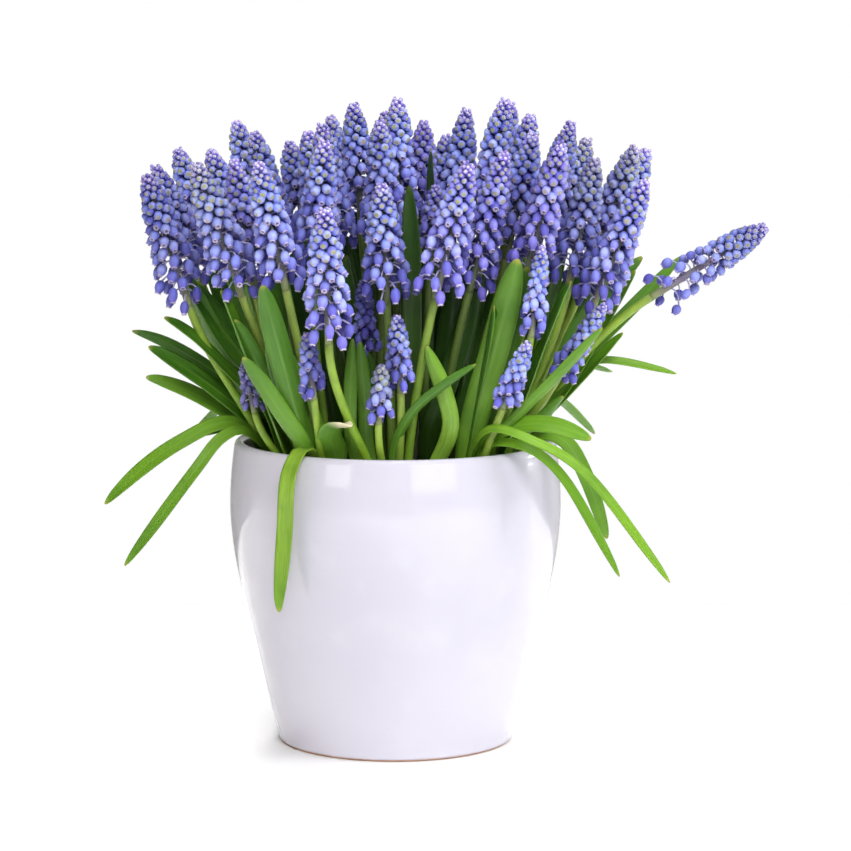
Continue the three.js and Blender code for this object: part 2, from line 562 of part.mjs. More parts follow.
// One closed surface: a stalk whose sides swell into whorls of florets, each whorl set half a floret
// round from the one below. The lowest hang as separate drops, and the others stand out as close buds.
function headGeometry(head, phase) {
  const { foot, direction } = headAxis(head);
  const whorls = Math.floor(head.length / WHORL_SPACING);
  const acrossX = new THREE.Vector3(1, 0, 0).addScaledVector(direction, -direction.x).normalize();
  const acrossY = new THREE.Vector3().crossVectors(direction, acrossX);
  const step = (2 * Math.PI) / HEAD_SIDES;
  const place = (height, radius, angle) =>
    foot
      .clone()
      .addScaledVector(direction, height)
      .addScaledVector(acrossX, radius * Math.cos(angle))
      .addScaledVector(acrossY, radius * Math.sin(angle));
  // Whorls are wider apart low down than at the tip.
  const climb = (k) => {
    const share = (k + 0.5) / whorls;
    const crowded = (1 + WHORL_CROWDING) * share - WHORL_CROWDING * share ** 2;
    return HEAD_STUB + (head.length - HEAD_STUB) * crowded * (1 - TIP_BUD_SHARE);
  };
  const points = [];
  const triangles = [];
  const add = (point) => points.push(point) - 1;
  const half = (k) => (k % 2 === 0 ? 0.5 : 0); // whorl -1 is the flat end on the stem
  const rings = new Map();
  for (let k = -1; k < whorls; k++) {
    const height = k < 0 ? 0 : climb(k);
    const full = headRadius(head.radius, height / head.length);
    let radius = CORE_SHARE * full;
    if (k < HANGING_WHORLS) radius = HEAD_STUB_RADIUS;
    const ring = Array.from({ length: HEAD_SIDES }, (_, j) =>
      add(place(height, radius, phase + (j + half(k)) * step)),
    );
    rings.set(k, ring);
  }
  const tip = add(place(head.length, 0, 0));
  const corner = (k, j) => (k === whorls ? tip : rings.get(k)[((j % HEAD_SIDES) + HEAD_SIDES) % HEAD_SIDES]);
  for (let i = 1; i < HEAD_SIDES - 1; i++) triangles.push([corner(-1, 0), corner(-1, i + 1), corner(-1, i)]);
  for (let j = 0; j < HEAD_SIDES; j++) triangles.push([corner(-1, j), corner(-1, j + 1), corner(0, j)]);
  for (let k = 0; k < whorls; k++) {
    const height = climb(k);
    const full = headRadius(head.radius, height / head.length);
    for (let j = 0; j < HEAD_SIDES; j++) {
      const middle = phase + (j + 0.5 + half(k)) * step;
      const beside = half(k) > 0 ? j + 1 : j;
      const left = corner(k, j);
      const right = corner(k, j + 1);
      const low = corner(k - 1, beside);
      const high = corner(k + 1, beside);
      if (k < HANGING_WHORLS) {
        const aside = FLORET_HALF_WIDTH / FLORET_SHOULDER;
        const shoulder = FLORET_SHOULDER * full;
        const sides = height - FLORET_SIDE_DROP * full;
        const outLeft = add(place(sides, shoulder, middle - aside));
        const outRight = add(place(sides, shoulder, middle + aside));
        const outHigh = add(place(height + FLORET_TOP_RISE * full, FLORET_TOP_REACH * full, middle));
        const end = add(place(height - FLORET_DROP * full, full, middle));
        triangles.push([low, right, left]);
        triangles.push([left, right, outRight], [left, outRight, outLeft]);
        triangles.push([right, high, outHigh], [right, outHigh, outRight]);
        triangles.push([high, left, outLeft], [high, outLeft, outHigh]);
        triangles.push([outLeft, outRight, end], [outRight, outHigh, end], [outHigh, outLeft, end]);
      } else {
        const droop = BUD_DROOP * head.radius * (1 - k / whorls / BUDS_LEVEL_AT);
        const end = add(place(height - droop, full, middle));
        triangles.push([low, right, end], [right, high, end], [high, left, end], [left, low, end]);
      }
    }
  }
  return meshed(points, triangles);
}

// ---- Assembly ----------------------------------------------------------------------------------

function named(name, geometry, look) {
  const mesh = new THREE.Mesh(geometry, new THREE.MeshStandardMaterial(COLOURS[look]));
  mesh.name = name;
  return mesh;
}

const number = (index) => String(index + 1).padStart(2, "0");

const arrangement = new THREE.Group();
arrangement.add(named("pot", potGeometry(), "pot"));
arrangement.add(named("soil", soilGeometry(bulbs), "soil"));
bulbs.forEach((bulb, i) => {
  arrangement.add(named(`plant_${number(i)}`, plantGeometry(bulb), "plant"));
});
HEADS.forEach((head, i) => {
  arrangement.add(named(`flower_head_${number(i)}`, headGeometry(head, i * 2.4), "head"));
});

export default arrangement;
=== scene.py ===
# Grape hyacinths in a white glazed pot: the detailed model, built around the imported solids.
import math
import random

import bpy
import numpy as np
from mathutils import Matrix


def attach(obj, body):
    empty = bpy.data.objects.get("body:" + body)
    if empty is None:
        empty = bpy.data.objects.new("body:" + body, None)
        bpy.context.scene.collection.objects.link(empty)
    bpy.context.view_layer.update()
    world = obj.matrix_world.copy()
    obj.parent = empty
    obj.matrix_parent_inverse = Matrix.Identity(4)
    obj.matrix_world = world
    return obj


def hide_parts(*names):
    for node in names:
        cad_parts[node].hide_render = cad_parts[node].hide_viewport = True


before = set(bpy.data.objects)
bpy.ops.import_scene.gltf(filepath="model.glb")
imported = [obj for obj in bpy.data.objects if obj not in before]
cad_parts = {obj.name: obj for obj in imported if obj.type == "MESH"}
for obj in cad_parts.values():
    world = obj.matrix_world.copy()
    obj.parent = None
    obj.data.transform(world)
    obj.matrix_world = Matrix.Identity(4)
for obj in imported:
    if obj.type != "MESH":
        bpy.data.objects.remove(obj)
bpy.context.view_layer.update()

MM = 0.001  # sizes below are in millimetres, and the meshes are in metres
GOLDEN_ANGLE = math.radians(137.508)  # turn from one floret to the next round a head

# ---- Layout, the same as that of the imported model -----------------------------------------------

POT_WALL = [
    (49.4, 1.2),
    (53.7, 16),
    (58.8, 38),
    (63.9, 60),
    (68.0, 79),
    (69.8, 95),
    (69.9, 106),
    (69.2, 117),
    (68.2, 125.5),
]
LIP_RISE = 3.1  # how far the lip's top stands above the wall
FOOT_RADIUS = 48.4
WALL_THICKNESS = 4.6
FLOOR_THICKNESS = 7
FLOOR_CORNER = 4  # how far the flat floor ends inside the wall
GAP = 0.3  # between pieces that rest on each other

SOIL_LEVEL = 108
BULB_BASE = 82.5
BULB_TOP = 109.5
BULB_NECK_RADIUS = 10.4
CROWN_RADIUS = 6.6
CROWN_SHARE = 0.55
CROWN_DEPTH = 1.5
OUTER_BULBS = 8
OUTER_BULB_CIRCLE = 46
INNER_BULBS = 3
INNER_BULB_CIRCLE = 18
FAN_APEX = -17  # height at which the lines of the fan of stems would meet

STEM_RADIUS = 1.9
STEM_SET_OUT = 0.12
STEM_UPRIGHT = 0.3
STEM_IN_LINE = 0.35

HEAD_TAPER = 0.72
HEAD_TAPER_POWER = 1.4
HEAD_ROUND_FROM = 0.8
HEAD_ROUND_REACH = 0.26

# Distances from the fan's middle line, at the soil, of where the clump is dense and dark and of where
# it is open to the light.
DENSE_TO = 26
OPEN_FROM = 45

LEAF_CHANNEL = 0.13
LEAF_BASE_SHARE = 0.6
LEAF_WIDEST = 0.5
LEAF_NARROWS = 0.72
LEAF_ARCH = 0.35
LEAF_TURN_OUT = 1.4


def spike(tip, length, radius, **own):
    """A flower head's row. What it has of its own, and what it has otherwise:

    lean      x and y for each millimetre of height, otherwise those of the fan
    mood      a name in MOODS, otherwise full bloom
    cast      from 0 for blue to 1 for violet, otherwise drawn at random
    fullness  share of its low florets that are there, otherwise 1
    bell      length of its florets as a share of the usual
    hang      how far they follow their weight, at 1, and not the stem, at 0, otherwise 1
    """
    return dict(tip=tip, length=length, radius=radius, **own)


HEADS = [
    spike((-102, -30, 242), 58, 12.7, lean=(-0.31, -0.1), mood="half_shaded", cast=0.3),
    spike((-101, 3, 244), 52, 11.7, mood="half_shaded"),
    spike((-94, 38, 249), 48, 11.7),
    spike((-77, -5, 251), 52, 12.2),
    spike((-80, -54, 248), 58, 13.2, lean=(-0.33, -0.15), mood="fresh", cast=0.1),
    spike((-66, -31, 248), 56, 11.7, lean=(-0.16, -0.1), cast=0.8),
    spike((-70, 62, 260), 50, 11.7),
    spike((-60, 24, 257), 52, 11.7),
    spike((-54, -68, 249), 54, 12.2, lean=(-0.2, -0.2)),
    spike((-46, 46, 252), 46, 11.7),
    spike((-37, 10, 258), 48, 11.7),
    spike((-30, -20, 262), 54, 12.2),
    spike((-29, 74, 262), 50, 11.7),
    spike((-28, -52, 257), 54, 12.2, lean=(0.08, -0.12)),
    spike((-18, 30, 269), 52, 11.7),
    spike((-6, -28, 264), 52, 11.7),
    spike((-5, 56, 264), 48, 11.7),
    spike((1, 5, 272), 56, 12.2),
    spike((12, 34, 261), 44, 11.2, cast=1),
    spike((-5, -60, 240), 50, 12.7, lean=(-0.04, -0.2)),
    spike((-27, -86, 232), 56, 12.7, lean=(-0.02, -0.2), cast=0.6),
    spike((17, -36, 238), 30, 9, mood="half_shaded", cast=0.9),
    spike((1, -60, 187), 32, 8.5, lean=(-0.05, -0.12), cast=0),
    spike((-5, -68, 168), 25, 7.5, lean=(0.05, -0.2), mood="young", cast=0),
    spike((-35, -70, 181), 28, 7.5, lean=(-0.1, -0.2), mood="shaded", cast=0),
    spike((-62, -38, 166), 22, 6.5, lean=(-0.2, -0.1), mood="withered"),
    spike((-13, -42, 200), 33, 7.5, mood="shaded"),
    spike((30, 14, 267), 56, 11.7),
    spike((46, -4, 272), 58, 11.7, lean=(0.18, -0.02)),
    spike((50, 62, 268), 50, 11.7),
    spike((30, -70, 249), 58, 12.7, lean=(0.24, -0.2), cast=0.8),
    spike((45, -47, 252), 60, 12.2, lean=(0.25, -0.16), cast=0.9),
    spike((57, -25, 259), 54, 11.7),
    spike((58, 34, 264), 50, 11.7),
    spike((59, 88, 257), 48, 11.7),
    spike((74, 6, 262), 58, 11.7),
    spike((68, -48, 256), 59, 12.2, lean=(0.26, -0.18), cast=1),
    spike((83, 50, 253), 48, 11.7, mood="fresh", cast=0),
    spike((83, -17, 248), 55, 12.2, lean=(0.2, -0.08), mood="fresh", cast=0),
    spike((101, 4, 252), 58, 12.2, mood="fresh", cast=0.1),
    spike((108, 38, 249), 48, 11.7),
    spike((103, -32, 240), 60, 12.2, cast=0.7),
    spike(
        (154, -22, 220), 56, 12.2, lean=(1.6, -0.1), fullness=0.62, bell=0.8, hang=0.35, mood="half_shaded",
        cast=0.15,
    ),
    spike((60, -56, 215), 38, 7.5, lean=(0.12, -0.1), cast=0),
    spike((54, -68, 177), 32, 8, lean=(0.35, -0.4), cast=0),
    spike((86, -44, 190), 38, 8, lean=(0.6, -0.2), cast=0),
    spike((22, 60, 254), 46, 11.7),
]

# The leaves that make the outline: greatest width, roll about its own length in degrees, tone from
# 0, dark green, to 1, bright yellow-green, its points up to the tip, and how dry that is, if at all.
LEAVES = [
    # Left side.
    (6.5, -55, 0.7, [(-58, -10, 130), (-70, -13, 137), (-90, -19, 129), (-106, -22, 118), (-121, -24, 104)]),
    (5, -55, 0.55, [(-57, -15, 129), (-65, -18, 134.5), (-73, -22, 131), (-82, -28, 120), (-112, -36, 80)]),
    (4.5, -40, 0.5, [(-57, -4, 129), (-65, -4.5, 134.5), (-81, -8, 131)]),
    (7.5, -50, 0.6, [(-58, -2, 132), (-73, -3, 141), (-88, -3, 149), (-105, -3, 155)]),
    (8, -60, 0.12, [(-58, -7, 134), (-75, -10, 150), (-90, -12, 161), (-103, -13, 169)]),
    (6, -50, 0.15, [(-60, 6, 142), (-77, 6, 156), (-98, 10, 168), (-112, 12, 173)]),
    (8, -50, 0.15, [(-56, -18, 146), (-68, -20, 158), (-82, -26, 173), (-95, -30, 183)]),
    (12, -65, 0.05, [(-52, -10, 150), (-66, -11, 167), (-77, -12, 183), (-86, -13, 196)]),
    (10, -65, 0.1, [(-54, 8, 146), (-64, 10, 156), (-72, 9, 166), (-80, 8, 177)]),
    # Front left.
    (8, 45, 0.2, [(-42, -40, 138), (-50, -43, 154), (-57, -47, 168), (-65, -50, 184)]),
    (9.5, 40, 0.2, [(-36, -46, 132), (-42, -52, 151), (-47, -56, 167), (-50, -60, 184)]),
    (10, 40, 0.12, [(-36, -28, 146), (-44, -30, 165), (-51, -30, 180), (-57, -30, 190)]),
    (7.5, 40, 0.6, [(-37, -49, 132), (-43, -54, 142), (-51, -58, 155), (-61, -62, 170)]),
    (3.5, 40, 0.5, [(-30, -50, 138), (-35, -53, 155), (-43, -57, 173)]),
    (7.5, 0, 1.0, [(-33, -47, 126), (-37, -55, 131.2), (-42, -62, 123), (-44, -61, 99), (-47, -60, 65)]),
    # Front.
    (10.5, 0, 0.6, [(-24, -48, 127), (-26, -58, 137), (-23, -64, 142), (-17, -69, 143)], 1.0),
    (7, -45, 1.0, [(18, -47, 126), (23, -54, 141), (20, -57, 156), (13, -58, 174)]),
    (4, -50, 0.15, [(0, -50, 131), (8, -60, 148), (20, -66, 159), (33, -69, 168)]),
    (5.5, 80, 0.6, [(-17, -46, 130), (-18, -49, 151), (-17, -48, 176)]),
    (6, 75, 0.5, [(-11, -44, 130), (-12, -47, 151), (-14, -50, 175)]),
    (5.5, 100, 0.2, [(-7, -36, 130), (-8, -40, 150), (-11, -42, 170)]),
    # Tall ones between the flowers.
    (8, 50, 0.45, [(4, -34, 132), (7, -38, 170), (7, -41, 205), (6, -42, 238)]),
    (6, -60, 0.5, [(13, -8, 134), (15, -7, 175), (16, -5, 215), (15, -5, 250)]),
    (6, -20, 0.3, [(12, -14, 134), (13, -16, 165), (14, -19, 198), (13, -20, 228)]),
    # Behind the flowers.
    (9, -85, 0.1, [(-13, 12, 134), (-15, 14, 165), (-18, 16, 190), (-21, 18, 213)]),
    (9, -50, 0.1, [(-30, 6, 134), (-34, 8, 160), (-40, 10, 188), (-44, 12, 206)]),
    (9, 5, 0.1, [(14, 6, 134), (16, 8, 155), (18, 10, 178), (20, 12, 205)]),
    (9, -50, 0.1, [(-52, 12, 134), (-62, 15, 160), (-73, 18, 185), (-81, 20, 203)]),
    (9, 45, 0.1, [(52, 14, 134), (61, 18, 160), (72, 22, 185), (80, 25, 205)]),
    # Front right.
    (12, -41, 0.6, [(30, -38, 128), (35, -43, 150), (41, -46, 171), (50, -53, 209)], 0.3),
    (9, -45, 0.2, [(14, -28, 134), (21, -30, 153), (28, -28, 175), (34, -26, 196)]),
    (9, -70, 0.3, [(26, -20, 134), (31, -18, 151), (37, -16, 175), (42, -14, 194)]),
    (4.5, -60, 0.65, [(36, -40, 128), (50, -52, 145), (67, -58, 163), (84, -62, 182)]),
    (5, -60, 0.4, [(48, -33, 130), (60, -40, 142), (69, -44, 152)]),
    (8, 50, 0.85, [(36, -38, 130), (50, -50, 140), (65, -56, 141), (80, -58, 136)]),
    (4.5, 40, 0.9, [(32, -44, 130), (40, -57, 140), (56, -64, 136), (75, -66, 125), (112, -64, 78)]),
    (4.5, 40, 0.85, [(37, -41, 129), (46, -55, 134), (57, -60, 131), (68, -60, 121), (92, -56, 79)]),
    # Right side.
    (6.5, 40, 0.6, [(56, -22, 129), (64, -31, 134), (71, -34, 131), (79, -36, 117), (88, -34, 91)]),
    (8, 70, 0.25, [(56, 3, 152), (63, 6, 168), (80, 12, 182), (105, 18, 204)]),
    (6.5, 60, 0.4, [(62, -12, 138), (74, -13, 156), (88, -14, 181), (100, -14, 201)]),
    (6, 60, 0.35, [(66, 13, 145), (80, 17, 161), (104, 27, 184), (123, 34, 203)]),
    (5, 30, 0.9, [(60, -2, 142), (72, -4, 156), (86, -6, 162), (118, -9, 157)]),
    (6, 50, 0.5, [(56, -8, 133), (66, -11, 143), (78, -13, 156), (95, -15, 175)]),
]

# More leaves deep in the clump, given in the same way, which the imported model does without.
INNER_LEAVES = [
    (9, -53, 0.1, [(-9, 22, 134), (-12, 26, 165), (-15, 29, 195), (-17, 31, 222)]),
    (9, 39, 0.1, [(6, 24, 134), (8, 28, 165), (10, 31, 195), (12, 33, 221)]),
    (9, 60, 0.1, [(50, 6, 134), (58, 10, 165), (66, 13, 195), (72, 15, 222)]),
]

# The leaves that stand close round their bulb: where they start, turned round the bulb from the
# plant's own direction in degrees, the distance of the tip from the line of the fan through the bulb,
# the height of the tip, the width, and which of the outer plants have it.
OUTER_ROSETTE = [
    (60, 9, 200, 10, (0, 1, 2, 3, 4, 5, 7)),
    (-60, 9, 196, 10, (0, 1, 2, 3, 4, 5)),
    (150, 8, 205, 9.5, (0, 1, 2, 3, 4, 5, 7)),
    (-140, 8, 190, 10, (1, 2, 3, 7)),
    (180, 3, 212, 11, (1, 2, 3)),
]
INNER_ROSETTE = [
    (20, 7, 214, 11),
    (110, 6, 208, 10),
    (200, 7, 214, 11),
    (290, 6, 204, 10),
]
ROSETTE_BEND = 1.5

# The leaves that arch out over the rim at the back: turn from the plant's own direction in degrees,
# distance of the tip from the pot's axis, height of the tip, and width.
ARCHING_LEAVES = [(-13, 112, 150, 8), (1, 128, 118, 7), (13, 102, 170, 9)]
BACK_PLANTS = (1, 2, 3)


def in_plan(radius, angle, z=0.0):
    return np.array([radius * math.cos(angle), radius * math.sin(angle), z])


def unit(vector):
    return vector / np.linalg.norm(vector)


def spread(z):
    """How much wider the fan of stems and leaves is at a height than at the soil."""
    return (z - FAN_APEX) / (SOIL_LEVEL - FAN_APEX)


def ring_of_bulbs(count, circle, first_angle):
    angles = [first_angle + i * math.tau / count for i in range(count)]
    return [dict(angle=angle, place=in_plan(circle, angle)) for angle in angles]


outer_bulbs = ring_of_bulbs(OUTER_BULBS, OUTER_BULB_CIRCLE, 0)
inner_bulbs = ring_of_bulbs(INNER_BULBS, INNER_BULB_CIRCLE, math.radians(90))
bulbs = outer_bulbs + inner_bulbs


def start_on(bulb, point):
    """Where a stem or leaf that passes through a point starts on its bulb."""
    offset = point / spread(point[2]) - bulb["place"]
    offset[2] = 0
    offset *= CROWN_SHARE
    reach = np.linalg.norm(offset)
    if reach > CROWN_RADIUS:
        offset *= CROWN_RADIUS / reach
    return bulb["place"] + offset + [0, 0, BULB_TOP - CROWN_DEPTH]


def bulb_under(point):
    """The bulb whose part of the fan a point lies in."""
    in_fan = point[:2] / spread(point[2])
    return min(bulbs, key=lambda bulb: np.linalg.norm(bulb["place"][:2] - in_fan))


def head_axis(head):
    """A head's foot on its stem, its tip and the direction of its axis."""
    tip = np.array(head["tip"], float)
    rise = tip[2] - FAN_APEX
    lean = head.get("lean", (tip[0] / rise, tip[1] / rise))
    direction = unit(np.array([lean[0], lean[1], 1.0]))
    return tip - direction * head["length"], tip, direction


def inner_share(points):
    """How deep in the clump points stand, for the painted shade there: 0 at its outside and 1 in its middle.
    """
    points = np.asarray(points, float)
    out = np.hypot(points[..., 0], points[..., 1]) / spread(np.maximum(points[..., 2], SOIL_LEVEL))
    return np.clip((OPEN_FROM - out) / (OPEN_FROM - DENSE_TO), 0, 1)


def head_radius(radius, share):
    """A head's radius at a share of its length: full low down and round at the tip."""
    taper = 1 - HEAD_TAPER * share**HEAD_TAPER_POWER
    rounding = max(0.0, (share - HEAD_ROUND_FROM) / HEAD_ROUND_REACH)
    return radius * taper * math.sqrt(max(0.0, 1 - rounding**2))


# ---- Paths --------------------------------------------------------------------------------------


def bezier(points, shares):
    """Points on a cubic curve of four control points."""
    a, b, c, d = points
    t = np.asarray(shares)[:, None]
    return (1 - t) ** 3 * a + 3 * (1 - t) ** 2 * t * b + 3 * (1 - t) * t**2 * c + t**3 * d


def dense_curve(points, steps=40):
    """A centripetal Catmull-Rom curve through points, as a fine polyline."""
    ends = [2 * points[0] - points[1], *points, 2 * points[-1] - points[-2]]
    made = []
    for p0, p1, p2, p3 in zip(ends, ends[1:], ends[2:], ends[3:]):
        d0, d1, d2 = [math.sqrt(np.linalg.norm(b - a)) for a, b in ((p0, p1), (p1, p2), (p2, p3))]
        out = d1 * ((p1 - p0) / d0 - (p2 - p0) / (d0 + d1) + (p2 - p1) / d1)
        into = d1 * ((p2 - p1) / d1 - (p3 - p1) / (d1 + d2) + (p3 - p2) / d2)
        t = np.arange(steps)[:, None] / steps
        cubic = 2 * p1 - 2 * p2 + out + into
        square = 3 * p2 - 3 * p1 - 2 * out - into
        made.append(p1 + out * t + square * t**2 + cubic * t**3)
    return np.concatenate([*made, [points[-1]]])


def along_curve(line, shares):
    """Points at shares of a polyline's length, the direction there, and the whole length."""
    lengths = np.concatenate([[0], np.cumsum(np.linalg.norm(np.diff(line, axis=0), axis=1))])
    total = lengths[-1]
    place = lambda share: np.stack([np.interp(share * total, lengths, line[:, k]) for k in range(3)], 1)
    shares = np.asarray(shares)
    ahead = place(np.minimum(shares + 0.01, 1)) - place(np.maximum(shares - 0.01, 0))
    return place(shares), ahead / np.linalg.norm(ahead, axis=1)[:, None], total


# ---- Meshes -------------------------------------------------------------------------------------


def columns(count, *values):
    """Values side by side for each of many points. A single number holds for all of them."""
    return np.stack([np.broadcast_to(value, count) for value in values], 1)


def turns(sides):
    """Angles evenly round a circle."""
    return np.arange(sides) * math.tau / sides


def ring(radius, angles, z):
    """Points round the pot's axis, or the axis of what is made."""
    return columns(len(angles), radius * np.cos(angles), radius * np.sin(angles), z)


class Shape:
    """Collects the parts of one piece, each with per-point values for its material, as one mesh."""

    def __init__(self, *attributes):
        self.points = []
        self.quads = []
        self.triangles = []
        self.quad_materials = []
        self.triangle_materials = []
        self.values = {name: [] for name in attributes}
        self.count = 0

    def add(self, points, quads, triangles, material=0, **values):
        self.points.append(points)
        self.quads.append(np.asarray(quads, int).reshape(-1, 4) + self.count)
        self.triangles.append(np.asarray(triangles, int).reshape(-1, 3) + self.count)
        self.quad_materials.append(np.full(len(self.quads[-1]), material))
        self.triangle_materials.append(np.full(len(self.triangles[-1]), material))
        for name, made in self.values.items():
            made.append(np.broadcast_to(values.get(name, (0, 0, 0)), (len(points), 3)))
        self.count += len(points)

    def piece(self, name, materials, slot, node, smooth=True):
        """Makes the object, which stands for a CAD node and rides on the one body."""
        quads = np.concatenate(self.quads)
        triangles = np.concatenate(self.triangles)
        mesh = bpy.data.meshes.new(name)
        mesh.vertices.add(self.count)
        mesh.vertices.foreach_set("co", (np.concatenate(self.points) * MM).astype(np.float32).ravel())
        mesh.loops.add(quads.size + triangles.size)
        mesh.loops.foreach_set("vertex_index", np.concatenate([quads.ravel(), triangles.ravel()]))
        mesh.polygons.add(len(quads) + len(triangles))
        starts = [np.arange(len(quads)) * 4, quads.size + np.arange(len(triangles)) * 3]
        mesh.polygons.foreach_set("loop_start", np.concatenate(starts))
        indices = np.concatenate(self.quad_materials + self.triangle_materials)
        mesh.polygons.foreach_set("material_index", indices)
        mesh.polygons.foreach_set("use_smooth", np.full(len(indices), smooth))
        for attribute, made in self.values.items():
            layer = mesh.attributes.new(attribute, "FLOAT_VECTOR", "POINT")
            layer.data.foreach_set("vector", np.concatenate(made).astype(np.float32).ravel())
        mesh.update(calc_edges=True)
        mesh.validate()
        for material in materials:
            mesh.materials.append(material)
        made = bpy.data.objects.new(name, mesh)
        bpy.context.scene.collection.objects.link(made)
        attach(made, "root")
        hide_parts(node)
        return made


def loft_faces(rings, sides):
    """Faces of a closed skin over rings of points, whose two end points follow the rings."""
    a = np.arange(rings * sides).reshape(rings, sides)
    b = np.roll(a, -1, axis=1)
    quads = np.stack([a[:-1], b[:-1], b[1:], a[1:]], axis=-1).reshape(-1, 4)
    first, last = rings * sides, rings * sides + 1
    start = np.stack([b[0], a[0], np.full(sides, first)], axis=-1)
    end = np.stack([a[-1], b[-1], np.full(sides, last)], axis=-1)
    return quads, np.concatenate([start, end])


def frames(tangents):
    """Two directions square to each tangent of a path, which turn as little as they can."""
    across = np.cross(tangents[0], (0.0, 1.0, 0.0) if abs(tangents[0][1]) < 0.9 else (1.0, 0.0, 0.0))
    made = []
    for tangent in tangents:
        across = unit(across - tangent * np.dot(across, tangent))
        made.append((across, np.cross(tangent, across)))
    return made


def tube(shape, path, radii, sides, material=0, **values):
    """A round rod along a path. A value given as a function gets the share of the length."""
    tangents = np.gradient(path, axis=0)
    tangents /= np.linalg.norm(tangents, axis=1)[:, None]
    angles = turns(sides)
    rings = []
    for centre, radius, (u, v) in zip(path, radii, frames(tangents)):
        rings.append(centre + radius * (np.outer(np.cos(angles), u) + np.outer(np.sin(angles), v)))
    points = np.concatenate([*rings, [path[0]], [path[-1]]])
    shares = np.concatenate([np.repeat(np.linspace(0, 1, len(path)), sides), [0, 1]])
    given = {}
    for name, value in values.items():
        given[name] = np.array([value(share) for share in shares]) if callable(value) else value
    shape.add(points, *loft_faces(len(path), sides), material=material, **given)


def turned(shape, profile, sides, material=0, **values):
    """A profile of (radius, height) turned round the pot's axis; its ends lie on the axis."""
    rings = [ring(radius, turns(sides), z) for radius, z in profile[1:-1]]
    points = np.concatenate([*rings, [(0, 0, profile[0][1])], [(0, 0, profile[-1][1])]])
    shape.add(points, *loft_faces(len(rings), sides), material=material, **values)


# ---- Materials ----------------------------------------------------------------------------------


class Shader:
    """The nodes of a material, or of the world. An input is a number, a colour or another node's output."""

    def __init__(self, name, kind="materials"):
        self.made = getattr(bpy.data, kind).new(name)
        self.made.use_nodes = True
        self.tree = self.made.node_tree

    def put(self, socket, value):
        if isinstance(value, bpy.types.NodeSocket):
            self.tree.links.new(value, socket)
        elif hasattr(socket.default_value, "__len__") and len(socket.default_value) == 4:
            socket.default_value = (*value, 1.0)
        else:
            socket.default_value = value

    def node(self, kind, inputs, **settings):
        node = self.tree.nodes.new("ShaderNode" + kind)
        for name, value in settings.items():
            setattr(node, name, value)
        for name, value in inputs.items():
            self.put(node.inputs[name], value)
        return node

    def set(self, **inputs):
        """Sets inputs of the material's surface."""
        for name, value in inputs.items():
            self.put(self.tree.nodes["Principled BSDF"].inputs[name.replace("_", " ")], value)

    def parts(self, attribute):
        """The three numbers of a point attribute."""
        read = self.node("Attribute", {}, attribute_name=attribute, attribute_type="GEOMETRY")
        return self.split(read.outputs["Vector"])

    def place(self, kind="Object"):
        """The point of the surface, in metres, or the direction of the world as Generated."""
        found = self.tree.nodes.get("place") or self.node("TexCoord", {}, name="place")
        return found.outputs[kind]

    def split(self, vector):
        return self.node("SeparateXYZ", {0: vector}).outputs

    def math(self, operation, a, b=0.0, clamp=False):
        return self.node("Math", {0: a, 1: b}, operation=operation, use_clamp=clamp).outputs[0]

    def times(self, a, b):
        return self.math("MULTIPLY", a, b)

    def joined(self, x, y, z):
        return self.node("CombineXYZ", {0: x, 1: y, 2: z}).outputs[0]

    def noise(self, scale, detail=3.0, vector=None, roughness=0.5):
        inputs = {"Vector": vector or self.place(), "Scale": scale, "Detail": detail, "Roughness": roughness}
        return self.node("TexNoise", inputs).outputs["Fac"]

    def spread(self, value, low, high, to_low=0.0, to_high=1.0):
        """Maps a range of a value smoothly to another range."""
        inputs = {0: value, 1: low, 2: high, 3: to_low, 4: to_high}
        return self.node("MapRange", inputs, interpolation_type="SMOOTHSTEP").outputs[0]

    def mix(self, share, a, b):
        """A mix of two colours."""
        node = self.node("Mix", {}, data_type="RGBA")
        for index, value in ((0, share), (6, a), (7, b)):
            self.put(node.inputs[index], value)
        return node.outputs[2]

    def tinted(self, base, colour, value, low, high, most=1.0):
        """The base, turned towards a colour as a value goes from low to high."""
        return self.mix(self.spread(value, low, high, 0.0, most), base, colour)

    def ramp(self, value, stops):
        """A run of colours, given as (position, colour)."""
        node = self.node("ValToRGB", {0: value})
        band = node.color_ramp
        for position, _ in stops[2:]:
            band.elements.new(position)
        for element, (position, colour) in zip(band.elements, stops):
            element.position = position
            element.color = (*colour, 1.0)
        return node.outputs[0]

    def bump(self, height, distance, strength=1.0, normal=None):
        inputs = {"Height": height, "Distance": distance, "Strength": strength}
        if normal is not None:
            inputs["Normal"] = normal
        return self.node("Bump", inputs).outputs[0]


